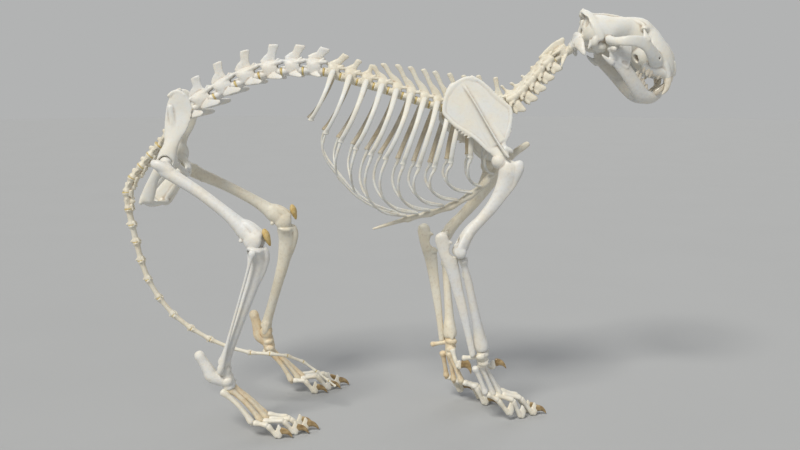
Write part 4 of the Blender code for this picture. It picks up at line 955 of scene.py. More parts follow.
@dataclass(frozen=True)
class VertebraSizes:
    """One vertebra's sizes in millimetres.

    Fields:
        body: half width and half height of its round body.
        arch: height of the arch's middle above the body's, and its half width.
        spine: height of its tip, how far that leans forwards, half length at root and at tip.
        wings: reach sideways, forwards and down, and half length at root and tip, or None.
        prongs: how strong the joint prongs before and behind are, 1 for the loin.
        knobs: how strong the small nipples above the front prongs are.
    """

    body: tuple[float, float]
    arch: tuple[float, float]
    spine: tuple[float, float, float, float]
    wings: tuple[float, float, float, float, float] | None = None
    prongs: float = 1.0
    knobs: float = 0.0


def vertebra(frame: Frame, length: float, sizes: VertebraSizes) -> Clay:
    """Builds one vertebra.

    Args:
        frame: its own frame, x towards the head.
        length: of its body in millimetres.
        sizes: its further sizes.

    Returns:
        The clay of the whole vertebra.
    """
    clay = Clay(frame)
    half = length / 2
    wide, high = sizes.body
    rise, arch_half = sizes.arch
    tip, lean, root_half, tip_half = sizes.spine
    clay.bar([(-half, 0, 0, wide * 1.03, high * 1.03), (-half * 0.8, 0, 0, wide, high),
              (-half * 0.3, 0, 0.6, wide * 0.84, high * 0.86), (half * 0.3, 0, 0.6, wide * 0.84,
            high * 0.86), (half * 0.8, 0, 0, wide, high), (half, 0, 0, wide * 1.03, high * 1.03)],
             dome=0.12)
    clay.bar([(-half * 0.6, 0, -high * 0.75, 2.2, 1.6), (half * 0.6, 0, -high * 0.75, 2.2, 1.6)])
    # The arch stands on two walls, with a notch before and behind for the nerves.
    clay.both([(half * 0.1, arch_half * 0.8, -1, length * 0.38, 4.2), (half * 0.1, arch_half * 0.9,
            rise * 0.6, length * 0.36, 4.2), (0, arch_half * 0.5, rise + 1, length * 0.42, 4.6),
               (0, 0, rise + 3.5, length * 0.44, 4.6)], ALONG)
    clay.bar([(-half * 0.86, 0, rise + 2.0, arch_half * 0.7, 3.0), (0, 0, rise + 2.4, arch_half * 0.95,
            4.2), (half * 0.8, 0, rise + 1.0, arch_half * 0.74, 3.0)])
    middle = (rise + tip) / 2
    waist = min(root_half, tip_half)
    clay.bar([(-0.5, 0, rise + 2, root_half * 1.25, 4.2), (lean * 0.2, 0, (rise + middle) / 2 + 1,
            root_half * 0.95, 3.0), (lean * 0.5, 0, middle, waist * 0.94, 2.2),
              (lean * 0.8, 0, tip - (tip - middle) * 0.36, waist, 2.2),
              (lean * 0.97, 0, tip - 2.5, tip_half, 2.8), (lean, 0, tip - 0.8, tip_half * 0.94, 2.8)],
             ALONG, dome=0.3)
    reach = arch_half * 0.74
    strong = sizes.prongs
    if strong:
        clay.both([(half * 0.15, reach, rise - 1, 3.6 * strong, 3.0 * strong),
                   (half + 3.5 * strong, reach * 1.06, rise + 1, 3.4 * strong, 2.7 * strong),
                   (half + 5.5 * strong, reach * 1.08, rise + 3, 2.4 * strong, 2.0 * strong)])
        clay.both([(-half * 0.15, reach * 0.7, rise + 1, 3.6 * strong, 2.8 * strong),
                   (-half - 2.5 * strong, reach * 0.72, rise + 3.4, 2.8 * strong, 2.3 * strong),
                   (-half - 5.0 * strong, reach * 0.74, rise + 4.2, 2.0 * strong, 1.6 * strong)])
    if sizes.knobs:
        knob = sizes.knobs
        clay.both([(half * 0.7, reach * 1.1, rise + 2, 3.4, 2.6), (half + 1, reach * 1.22, rise + 7 * knob,
                2.6, 1.9), (half + 1.5, reach * 1.26, rise + 9 * knob, 1.6, 1.2)], ALONG)
        clay.both([(-half * 0.4, reach * 1.05, rise * 0.45, 2.6, 1.5), (-half - 3 * knob, reach * 1.2,
                rise * 0.55, 1.5, 1.0)], HIGH)
    if sizes.wings:
        out, forward, down, wing_root, wing_tip = sizes.wings
        clay.both([(0, wide * 0.5, -1, wing_root, 3.6), (forward * 0.18, wide * 0.5 + out * 0.3,
                -1 - down * 0.25, wing_root * 0.95, 2.6), (forward * 0.6, wide * 0.5 + out * 0.72,
                -1 - down * 0.62, wing_tip * 1.05, 1.8), (forward * 0.9, wide * 0.5 + out * 0.94,
                -1 - down * 0.9, wing_tip * 0.78, 1.5), (forward * 1.02, wide * 0.5 + out * 1.02,
                -1 - down * 1.02, wing_tip * 0.34, 1.1)], (1, 0, 0.6))
    return clay


def between(low: tuple[float, float], high: tuple[float, float], back: float = 0.3,
            front: float = 0.3) -> tuple[Frame, float]:
    """The frame half way between two joints of the spine, and its length in millimetres.

    Args:
        low: x and z of the joint nearer the tail, in metres.
        high: x and z of the joint nearer the head.
        back: what is kept clear behind, in millimetres.
        front: what is kept clear in front.

    Returns:
        The frame and the length.
    """
    start, end = Vector((low[0], 0, low[1])), Vector((high[0], 0, high[1]))
    along = (end - start).normalized()
    start, end = start + along * back * MM, end - along * front * MM
    return spine_frame((start + end) / 2, along), (end - start).length / MM


def disc_places(joints: Sequence[tuple[float, float]], sizes: Callable[[float], tuple[float, float]],
                ends: bool = False) -> list[Place]:
    """Where the discs of cartilage lie in a row of vertebrae.

    Args:
        joints: x and z of each joint in metres.
        sizes: called with the share along the row, gives half width and half height in millimetres.
        ends: whether the outermost joints have discs too.

    Returns:
        The place, the turning matrix and the size of each disc.
    """
    found = []
    last = len(joints) - 1
    for i in range(0 if ends else 1, last + (1 if ends else 0)):
        low, high = joints[max(i - 1, 0)], joints[min(i + 1, last)]
        along = Vector((high[0] - low[0], 0, high[1] - low[1])).normalized()
        frame = spine_frame(Vector((joints[i][0], 0, joints[i][1])), along)
        turn = Matrix(frame.axes).transposed()
        wide, high_half = sizes(i / last)
        found.append((frame.origin, turn, (1.0, wide, high_half)))
    return found


def disc_shape() -> Shape:
    """One disc, a millimetre of half width and height in metres, with a bulging rim."""
    rows = [(x * MM, 0, 0, size * MM, size * MM) for x, size in
            ((-2.0, 0.90), (-1.2, 1.0), (0, 1.05), (1.2, 1.0), (2.0, 0.90))]
    return strand(rows, ACROSS, sides=24, steps=2, dome=0.02)


@dataclass
class Spine:
    """Neck, chest, loin and sacrum, each vertebra with the disc behind it."""

    loin_joints: tuple = ((-0.442, 0.616), (-0.411, 0.632), (-0.366, 0.657), (-0.323, 0.681),
            (-0.277, 0.698), (-0.233, 0.706), (-0.191, 0.708), (-0.150, 0.706))
    chest_joints: tuple = ((-0.150, 0.706), (-0.1175, 0.697), (-0.0845, 0.687), (-0.0525, 0.678),
            (-0.024, 0.6695), (0.004, 0.6595), (0.031, 0.6505), (0.0575, 0.642), (0.083, 0.6355),
            (0.108, 0.632), (0.133, 0.6305), (0.1595, 0.6315), (0.187, 0.635), (0.214, 0.642))
    chest_tips: tuple = ((-0.054, 0.720), (-0.033, 0.723), (-0.005, 0.721), (0.020, 0.717), (0.046, 0.712),
                         (0.068, 0.708), (0.097, 0.704), (0.125, 0.700), (0.154, 0.700), (0.188, 0.696))
    neck_joints: tuple = ((0.214, 0.642), (0.236, 0.655), (0.254, 0.673), (0.270, 0.691), (0.286, 0.711),
                          (0.304, 0.729))
    axis_ends: tuple = ((0.304, 0.729), (0.337, 0.750))
    atlas_ends: tuple = ((0.337, 0.750), (0.358, 0.774))
    sacrum_ends: tuple = ((-0.480, 0.560), (-0.442, 0.616))

    def loin(self) -> list[Clay]:
        """The seven loin vertebrae, with long side blades that point forwards and down."""
        clays, last = [], len(self.loin_joints) - 2
        for i in range(last + 1):
            share = i / last
            frame, length = between(self.loin_joints[i], self.loin_joints[i + 1], 2.2 if i else 0.6, 2.2)
            tip = 50 + 7 * math.sin(math.pi * min(share * 1.1, 1)) - 12 * max(share - 0.7, 0)
            clays.append(vertebra(frame, length,
                    VertebraSizes(body=(eased((12.5, 11.0), share), eased((9.5, 8.5), share)),
                    arch=(18, 9.5), spine=(tip, eased((9, 22), share), length * 0.36, 9.6),
                    wings=(eased((50, 16), max(share * 1.25 - 0.25, 0)), eased((44, 15), share),
                    eased((17, 8), share), eased((12, 8), share), eased((8, 5), share)), prongs=1.25,
                    knobs=1.0)))
        return clays

    def chest(self) -> list[Clay]:
        """The thirteen chest vertebrae: the last three lean forwards, the others back."""
        clays, last = [], len(self.chest_joints) - 2
        for i in range(last + 1):
            share = i / last
            frame, length = between(self.chest_joints[i], self.chest_joints[i + 1], 2.0, 2.0)
            if i < 3:
                spine = (44 - 2 * i, 17 - 7 * i, length * 0.30, 7.0 - i)
            else:
                tip = Vector((self.chest_tips[i - 3][0], 0, self.chest_tips[i - 3][1])) - frame.origin
                spine = (tip.dot(frame.axes[2]) / MM, tip.dot(frame.axes[0]) / MM, 8.0, 5.0)
            clays.append(vertebra(frame, length, VertebraSizes(
                body=(eased((10.5, 11.0), share), eased((8.5, 7.5), share)), arch=(15, 8.5), spine=spine,
                wings=(9, 0, -7, 5, 3.6), prongs=1.0 if i < 4 else 0.75, knobs=0.9 if i < 4 else 0.0)))
        return clays

    def neck(self) -> list[Clay]:
        """The five neck vertebrae behind the axis, with side plates that hang down and forwards."""
        clays, last = [], len(self.neck_joints) - 2
        for i in range(last + 1):
            share = i / last
            frame, length = between(self.neck_joints[i], self.neck_joints[i + 1], 1.5, 1.5)
            half = length / 2
            tip = eased((40, 26), min(share * 1.6, 1))
            clay = vertebra(frame, length, VertebraSizes(
                body=(eased((11.5, 10.5), share), eased((10.0, 9.5), share)), arch=(15, 13),
                spine=(tip, eased((-6, 1), share), 6, 2.8), prongs=1.25))
            # Stout pillars join the front and rear prongs of each side.
            clay.both([(-half * 0.9, 13, 9, 5.5, 6.5), (0, 13.5, 7, 5.0, 7.0),
                       (half * 0.9, 13, 8, 5.5, 6.5)])
            down = eased((31, 24), share)
            # A bar along the side carries the plate and has the artery's hole behind it.
            clay.both([(half * 0.5, 9, 8, 4.2, 3.4), (0, 15, 4, 4.0, 3.0), (-half * 0.6, 18, 0, 5.0, 2.4),
                       (-half * 1.1, 20, -4, 3.0, 1.8)], ALONG)
            clay.both([(0, 9, 2, 9.0, 5.0), (1, 14, -6, 9.0, 4.2), (3, 16.5, -down * 0.5, 8.5, 3.2),
                       (7, 18, -down * 0.7, 6.0, 2.6), (10, 18.5, -down * 0.82, 3.2, 2.0)], ALONG)
            clay.both([(-5, 15, -down * 0.35, 5.0, 3.0), (-7, 18, -down * 0.6, 3.6, 2.4),
                       (-8, 19, -down * 0.72, 2.0, 1.8)], ALONG)
            clay.knobs((-half * 0.5, 19, -3), (2.2, 5, 2.2), scoop=True)
            clays.append(clay)
        return clays

    def axis(self) -> Clay:
        """The second neck vertebra, with its tall blade that reaches forwards and back."""
        frame, length = between(*self.axis_ends)
        half = length / 2
        clay = Clay(frame)
        clay.bar([(-half, 0, 0, 10, 7.5), (-half * 0.3, 0, 0, 8.5, 6.5), (half * 0.5, 0, 1, 11, 8),
                  (half, 0, 1, 14, 8.5)], dome=0.15)
        clay.bar([(half - 3, 0, 2, 5, 5), (half + 8, 0, 4, 3.6, 3.6)])
        clay.bar([(0, 0, 0, 11, 11), (0, 0, 15, 13, 10)], ALONG, dome=0.3)
        clay.bar([(-43, 0, 20, 2.2, 2.2), (-36, 0, 19.5, 4.4, 2.4), (-24, 0, 19.5, 8.0, 2.4),
                  (-8, 0, 20, 10.5, 2.4), (6, 0, 22, 9.0, 2.6), (13, 0, 25, 5.4, 2.6),
                  (17, 0, 27, 2.8, 2.2)], HIGH, dome=0.4)
        clay.both([(-half * 0.2, 9, 11, 4, 3.4), (-half - 3, 11, 12, 3.2, 2.6),
                   (-half - 6, 11.5, 11, 2.2, 1.8)])
        clay.both([(2, 7, -1, 6, 2.6), (-8, 16, -8, 4.5, 1.9), (-15, 21, -14, 2.2, 1.3),
                   (-19, 23, -17, 1.2, 0.9)], ALONG)
        clay.both([(half - 2, 8, 4, 6.0, 5.0), (half + 1, 10, 4, 5.0, 4.2)])
        clay.knobs((-3, 13, 0), (2.4, 5, 2.4), scoop=True)
        return clay

    def atlas(self) -> Clay:
        """The first neck vertebra: a ring with a broad wing on each side."""
        frame, length = between(*self.atlas_ends)
        half = length / 2
        clay = Clay(frame)
        clay.bar([(-half, 0, 2, 16, 9), (0, 0, 3, 17, 10), (half * 0.6, 0, 4, 20, 13),
                  (half, 0, 5, 18, 12)], dome=0.1)
        clay.both([(0, 12, 6, 14, 6), (-1, 22, 2, 12, 4.5), (-4, 31, -4, 9.5, 3.4), (-8, 37, -10, 7, 2.8),
                   (-12, 42, -18, 4.0, 2.4), (-14, 43, -21, 2.0, 1.8)], (1, 0, 0.15))
        clay.knob((half * 0.5, 0, 6), (half * 2.2, 8, 7), scoop=True)
        clay.knobs((8, 21, 10), (2.6, 2.6, 6), scoop=True)
        clay.knobs((-11, 20, 6), (3.0, 3.0, 5), scoop=True)
        return clay

    def sacrum(self) -> Clay:
        """The three joined vertebrae between the hip bones, with broad wings at the front."""
        frame, length = between(*self.sacrum_ends)
        half = length / 2
        clay = Clay(frame)
        clay.bar([(-half, 0, 0, 9, 6), (0, 0, 0, 11, 7), (half, 0, 0, 13, 9)], dome=0.1)
        clay.both([(half * 0.45, 6, 0, 13, 8), (half * 0.4, 24, -2, 14, 9)], ALONG, dome=0.4)
        clay.both([(-half * 0.25, 5, 1, 13, 4.5), (-half * 0.5, 16, -1, 12, 2.6)], ALONG)
        for place, tip in ((half * 0.5, 11), (0, 11), (-half * 0.6, 10.5)):
            clay.bar([(place, 0, 1, 7.5, 4.2), (place - 2, 0, tip - 5, 4.8, 2.2),
                      (place - 3, 0, tip, 3.8, 2.4)], ALONG)
            clay.knobs((place - 8, 7, 7), (2.4, 2.4, 3), scoop=True)
        return clay

    def build(self, museum: Museum) -> None:
        """Builds all pieces of the spine before the tail."""
        look = museum.finishes
        museum.show(museum.cast("lumbar_vertebrae", self.loin(), look.bone, voxel=1.2, smoothing=4),
                    "lumbar")
        museum.show(museum.cast("thoracic_vertebrae", self.chest(), look.warm_bone, voxel=1.2, smoothing=4))
        museum.show(museum.cast("neck_vertebrae", self.neck(), look.warm_bone, voxel=1.08, smoothing=3),
                    "neck")
        museum.show(museum.cast("axis_vertebra", self.axis(), look.warm_bone, voxel=1.08, smoothing=4),
                    "axis")
        museum.show(museum.cast("atlas_vertebra", self.atlas(), look.bone, voxel=1.08, smoothing=4),
                    "atlas")
        museum.show(museum.cast("sacral_bone", self.sacrum(), look.warm_bone, voxel=1.2, smoothing=4),
                    "sacrum")
        places = disc_places(self.loin_joints, lambda share: (eased((12.6, 11.2), share),
                eased((9.6, 8.6), share)), ends=True)
        places += disc_places(self.chest_joints, lambda share: (10.7, eased((8.5, 7.6), share)))
        places += disc_places(self.neck_joints, lambda share: (eased((10.6, 9.4), share),
                eased((7.8, 7.3), share)), ends=True)
        museum.show(museum.scattered("spine_discs", disc_shape(), places, look.gristle))


class Way:
    """A smooth line through points in the middle plane, measured by its own length."""

    def __init__(self, points: Sequence[tuple[float, float]]) -> None:
        """Lays the line through x and z places in metres."""
        self.points = [Vector(row) for row in refined([(x, 0.0, z) for x, z in points], 8)]
        self.lengths = [0.0]
        for first, second in zip(self.points, self.points[1:]):
            self.lengths.append(self.lengths[-1] + (second - first).length)

    @property
    def total(self) -> float:
        """The line's whole length."""
        return self.lengths[-1]

    def at(self, distance: float) -> tuple[Vector, Vector]:
        """The place and the direction of the line at a distance along it."""
        i = 1
        while i < len(self.lengths) - 1 and self.lengths[i] < distance:
            i += 1
        start, end = self.points[i - 1], self.points[i]
        share = (distance - self.lengths[i - 1]) / (self.lengths[i] - self.lengths[i - 1])
        return start.lerp(end, share), (end - start).normalized()


@dataclass
class Tail:
    """The tail's twenty-one vertebrae on their long bent line."""

    way: Way = field(default_factory=lambda: Way([(-0.480, 0.562), (-0.509, 0.530), (-0.538, 0.496),
            (-0.550, 0.474), (-0.549, 0.440), (-0.543, 0.400), (-0.535, 0.360), (-0.517, 0.290),
            (-0.471, 0.217), (-0.397, 0.162), (-0.320, 0.133), (-0.247, 0.127), (-0.205, 0.114),
            (-0.166, 0.084)]))
    lengths: tuple = (0.027, 0.029, 0.030, 0.033, 0.034, 0.033, 0.036, 0.039, 0.042, 0.044, 0.046,
                      0.046, 0.045, 0.045, 0.043, 0.040, 0.037, 0.035, 0.033, 0.033, 0.020)
    groups: tuple = ((0, 5), (5, 10), (10, 15), (15, 21))

    def bone(self, index: int, start: float) -> tuple[Clay, Place]:
        """One tail vertebra and the disc behind it.

        Args:
            index: its place from the hips.
            start: where it starts along the tail, in metres.

        Returns:
            Its clay, and its disc's place, turn and size.
        """
        low, high = start + 0.0012, start + self.lengths[index] - 0.0012
        place, end = self.way.at(low)[0], self.way.at(high)[0]
        frame = spine_frame((place + end) / 2, end - place)
        half = (high - low) / MM / 2
        share = index / (len(self.lengths) - 1)
        wide, waist = eased((12.2, 3.1), share), eased((8.2, 1.9), share)
        clay = Clay(frame)
        clay.bar([(-half, 0, 0, wide * 0.96, wide * 0.86), (-half * 0.82, 0, 0, wide * 0.9, wide * 0.8),
                  (-half * 0.45, 0, 0, waist, waist * 0.9), (half * 0.45, 0, 0, waist, waist * 0.9),
                  (half * 0.82, 0, 0, wide * 0.82, wide * 0.74), (half, 0, 0, wide * 0.88, wide * 0.8)],
                 dome=0.12)
        if index < 5:
            reach = 16 - 2 * index
            clay.both([(1, 3, 0, 6.5, 2.2), (-2, reach * 0.7, 0, 4.5, 1.6), (-4, reach, 0, 2.6, 1.2)],
                      ALONG)
            clay.bar([(half * 0.3, 0, 4, 6, 4.4), (0, 0, 11, 5.5, 3.4), (-half * 0.5, 0, 13 - index, 3.6,
                    2.6)], ALONG)
            clay.both([(half * 0.6, 4.5, 8, 2.8, 2.2), (half + 4, 5, 10, 2.0, 1.7)])
            clay.both([(-half * 0.4, 3.6, 10, 2.6, 2.0), (-half - 4, 3.6, 12, 1.8, 1.4)])
            clay.bar([(0, 0, -2, 6.5, 4), (2, 0, -12 + 1.5 * index, 4, 2.2)], ALONG)
        elif index < 15:
            # Paired knuckles before and behind, above and at the sides, shrinking down the tail.
            size = 1 - (index - 5) / 14
            clay.both([(half * 0.75, wide * 0.45, wide * 0.5, 2.8 * size, 2.3 * size),
                       (half + 2.5 * size, wide * 0.62, wide * 0.85, 1.9 * size, 1.5 * size)], ALONG)
            clay.both([(-half * 0.8, wide * 0.6, 0, 3.2 * size, 2.0 * size),
                       (-half * 0.9, wide * 1.15, 0.5, 1.8 * size, 1.2 * size)], ALONG)
            clay.both([(half * 0.8, wide * 0.3, -wide * 0.5, 3.0 * size, 2.0 * size),
                       (half * 0.95, wide * 0.36, -wide * 1.05, 1.8 * size, 1.5 * size)], ALONG)
            clay.bar([(-half * 0.78, 0, wide * 0.5, 3.0 * size, 2.4 * size),
                      (-half * 0.92, 0, wide * 1.05, 1.9 * size, 1.6 * size)], ALONG)
        turn = Matrix(frame.axes).transposed()
        disc = (self.way.at(start)[0], turn, (0.8 - 0.4 * share, wide * 0.95, wide * 0.85))
        return clay, disc

    def build(self, museum: Museum) -> None:
        """Builds the tail in its lengths."""
        look = museum.finishes
        starts = [0.001]
        for length in self.lengths:
            starts.append(starts[-1] + length)
        discs = []
        for number, (first, last) in enumerate(self.groups, 1):
            clays = []
            for index in range(first, last):
                clay, disc = self.bone(index, starts[index])
                clays.append(clay)
                discs.append(disc)
            piece = museum.cast("tail_length_%d" % number, clays, look.warm_bone, voxel=1.08 if number < 3
                    else 0.6, smoothing=3, grain=0.4, grain_mm=4.0)
            museum.show(piece, "tail_%d" % number)
        museum.show(museum.scattered("tail_discs", disc_shape(), discs, look.gristle))


# The rib cage


@dataclass
class RibCage:
    """Thirteen pairs of ribs with their cartilages, and the breastbone.

    Places are x and z in metres, from the first rib to the last.

    Fields:
        spine: what the ribs start from.
        far_shift: how much further forward the left side's ends stand, in metres.
        ends: where each rib meets its cartilage.
        half_widths: how far out each rib stands, in metres.
        goals: where each of the first nine cartilages meets the breastbone.
        arch: the line that the last cartilages join.
        breastbone: the breastbone's line, from its blade behind to its front.
        bulk: how many times wider and deeper than its table the breastbone is.
        end_share: how far out a rib ends, as a share of how far out it stands.
    """

    spine: Spine
    far_shift: float = -0.013
    ends: tuple = ((0.196, 0.583), (0.170, 0.556), (0.138, 0.541), (0.099, 0.531), (0.067, 0.523),
            (0.036, 0.525), (0.006, 0.530), (-0.028, 0.540), (-0.056, 0.548), (-0.085, 0.559),
            (-0.114, 0.573), (-0.143, 0.589), (-0.172, 0.614))
    half_widths: tuple = (0.031, 0.038, 0.045, 0.053, 0.061, 0.070, 0.074, 0.077, 0.079, 0.079, 0.077,
            0.072, 0.062)
    goals: tuple = ((0.212, 0.533), (0.187, 0.505), (0.163, 0.480), (0.144, 0.467), (0.116, 0.451),
            (0.088, 0.440), (0.060, 0.430), (0.035, 0.425), (0.012, 0.419))
    arch: Way = field(default_factory=lambda: Way([(-0.143, 0.589), (-0.150, 0.560), (-0.140, 0.531),
            (-0.123, 0.508), (-0.098, 0.474), (-0.067, 0.450), (-0.036, 0.433), (-0.004, 0.424)]))
    breastbone: Way = field(default_factory=lambda: Way([
        (-0.055, 0.392), (0.012, 0.412), (0.055, 0.423), (0.095, 0.435), (0.131, 0.454), (0.163, 0.478),
        (0.189, 0.507), (0.222, 0.540), (0.256, 0.565)]))
    bulk: tuple[float, float] = (1.25, 1.5)
    end_share: float = 0.86

    def end(self, number: int, side: Side) -> Vector:
        """Where a rib meets its cartilage."""
        x, z = self.ends[number - 1]
        if side is Side.LEFT:
            x += self.far_shift * min(max((number - 3) / 5, 0), 1)
        return Vector((x, side.value * self.half_widths[number - 1] * self.end_share, z))

    def head(self, number: int) -> Frame:
        """The vertebra that a rib starts from."""
        index = len(self.ends) - number
        return between(self.spine.chest_joints[index], self.spine.chest_joints[index + 1])[0]

    def rib(self, number: int, side: Side) -> list[Row]:
        """One rib's line: its head, neck, angle, shaft and the thickening at its end."""
        frame = self.head(number)
        wide = self.half_widths[number - 1]
        end = self.end(number, side)
        knee = frame.at(1, side.value * 24, 10 - 0.7 * number)
        thick = 4.4 if number < 12 else 3.7
        rows = [[*frame.at(3, side.value * 7, 3), 5.0 * MM, 4.0 * MM],
                [*frame.at(2, side.value * 14, 7), 4.2 * MM, 3.2 * MM], [*knee, 6.0 * MM, 3.9 * MM]]
        for share, out in ((0.30, 0.88), (0.62, 1.0), (0.86, 0.95)):
            middle = knee.lerp(end, share)
            middle.y = side.value * wide * out
            bow = (-0.003 if number < 5 else 0.005 if number > 7 else 0) * math.sin(math.pi * share)
            rows.append([*(middle + Vector((bow, 0, 0))), (thick + 0.6) * MM, (thick - 1.4) * MM])
        rows.append([*knee.lerp(end, 0.96).xy, knee.lerp(end, 0.96).z, 5.2 * MM, 3.2 * MM])
        rows[-1][1] = side.value * wide * 0.88
        rows.append([*end, 6.2 * MM, 3.8 * MM])
        direction = (end - Vector(rows[-2][:3])).normalized()
        smooth = refined(rows, 7)
        smooth.append([*(end + direction * 0.0014), 4.4 * MM, 2.6 * MM])
        return smooth

    def cartilage(self, number: int, side: Side) -> list[Row]:
        """The curved cartilage from a rib's end forwards to the breastbone."""
        start = self.end(number, side)
        goal_x, goal_z = self.goals[number - 1]
        goal = Vector((goal_x, side.value * 0.006, goal_z))
        across, drop = goal.x - start.x, start.z - goal.z
        rows = [[*start, 4.4 * MM, 3.2 * MM], [*(start - UP * 0.006), 3.6 * MM, 2.8 * MM]]
        for forward, down, out in ((-0.14, 0.26, 0.98), (-0.17, 0.5, 0.88), (0.0, 0.74, 0.68),
                (0.4, 0.93, 0.36)):
            place = (start.x + across * forward, start.y * out, start.z - drop * down)
            rows.append([*place, 2.8 * MM, 2.3 * MM])
        rows.append([*goal, 3.2 * MM, 2.6 * MM])
        return refined(rows, 7)

    def arch_point(self, share: float, side: Side) -> Vector:
        """A place on the cartilage arch of the last ribs."""
        place, _ = self.arch.at(self.arch.total * share)
        half = eased((self.half_widths[11] * self.end_share, 0.014), min(max(share - 0.05, 0) * 1.15,
                1) ** 1.2)
        shift = self.far_shift * (1 - share) if side is Side.LEFT else 0
        return Vector((place.x + shift, side.value * half, place.z))

    def arch_lines(self, side: Side) -> list[list[Row]]:
        """The arch of cartilage behind the chest, with the two that join it."""
        lines = [refined([[*self.arch_point(share, side), 2.3 * MM, 2.0 * MM]
                          for share in (0, 0.12, 0.25, 0.4, 0.6, 0.8, 1)], 7)]
        for number, high in ((11, 0.47), (10, 0.66)):
            start = self.end(number, side)
            goal = self.arch_point(high, side)
            first = Vector((start.x - 0.010, start.y * 0.97, start.z - (start.z - goal.z) * 0.4))
            second = start.lerp(goal, 0.8) + Vector((-0.012, 0, 0))
            lines.append(refined([[*start, 3.6 * MM, 2.8 * MM], [*first, 2.4 * MM, 2.0 * MM],
                                  [*second, 2.2 * MM, 1.9 * MM], [*goal, 2.2 * MM, 1.9 * MM]], 9))
        return lines

    def sternum(self) -> Clay:
        """The breastbone's pieces in one line, ending in a thin blade behind."""
        rows = []
        for share, high, wide in ((0, 1.2, 1.5), (0.06, 2.0, 2.6), (0.17, 3.0, 3.4), (0.20, 4.9, 5.2),
                                  (0.235, 3.8, 3.8), (0.28, 3.4, 3.6), (0.325, 5.2, 5.2), (0.36, 3.8, 3.8),
                                  (0.41, 3.6, 3.6), (0.45, 5.4, 5.4), (0.49, 4.0, 4.0), (0.53, 3.8, 3.8),
                                  (0.575, 5.6, 5.4), (0.61, 4.2, 4.0), (0.65, 4.0, 3.8), (0.69, 5.6, 5.2),
                                  (0.73, 4.4, 3.8), (0.77, 4.2, 3.8), (0.81, 5.8, 4.8), (0.86, 5.2, 3.9),
                                  (0.92, 4.6, 3.4), (0.97, 4.4, 3.2), (1.0, 3.4, 2.8)):
            place = self.breastbone.at(self.breastbone.total * share)[0] / MM
            rows.append((*place, wide * self.bulk[0], high * self.bulk[1]))
        return Clay(WORLD).bar(rows, SIDEWAYS, sides=20)

    def build(self, museum: Museum) -> None:
        """Builds the ribs and cartilages of both sides and the breastbone."""
        look = museum.finishes
        for side in Side:
            lines = [self.rib(number, side) for number in range(1, len(self.ends) + 1)]
            # The far side's ribs take the darker tan finish: painted shade.
            ribs = museum.swept("ribs_" + side.word, lines, [FORWARD] * len(lines),
                                look.blade_bone if side is Side.RIGHT else look.far_rib_painted_shade)
            museum.show(ribs, "chest_" + side.word)
            lines = [self.cartilage(number, side) for number in range(1, 10)] + self.arch_lines(side)
            museum.show(museum.swept("rib_cartilages_" + side.word, lines, [FORWARD] * len(lines),
                    look.rib_cartilage, sides=12, grain=0.5))
        museum.show(museum.cast("breastbone", self.sternum(), look.warm_bone, voxel=1.08, smoothing=3),
                    "sternum")


# The head


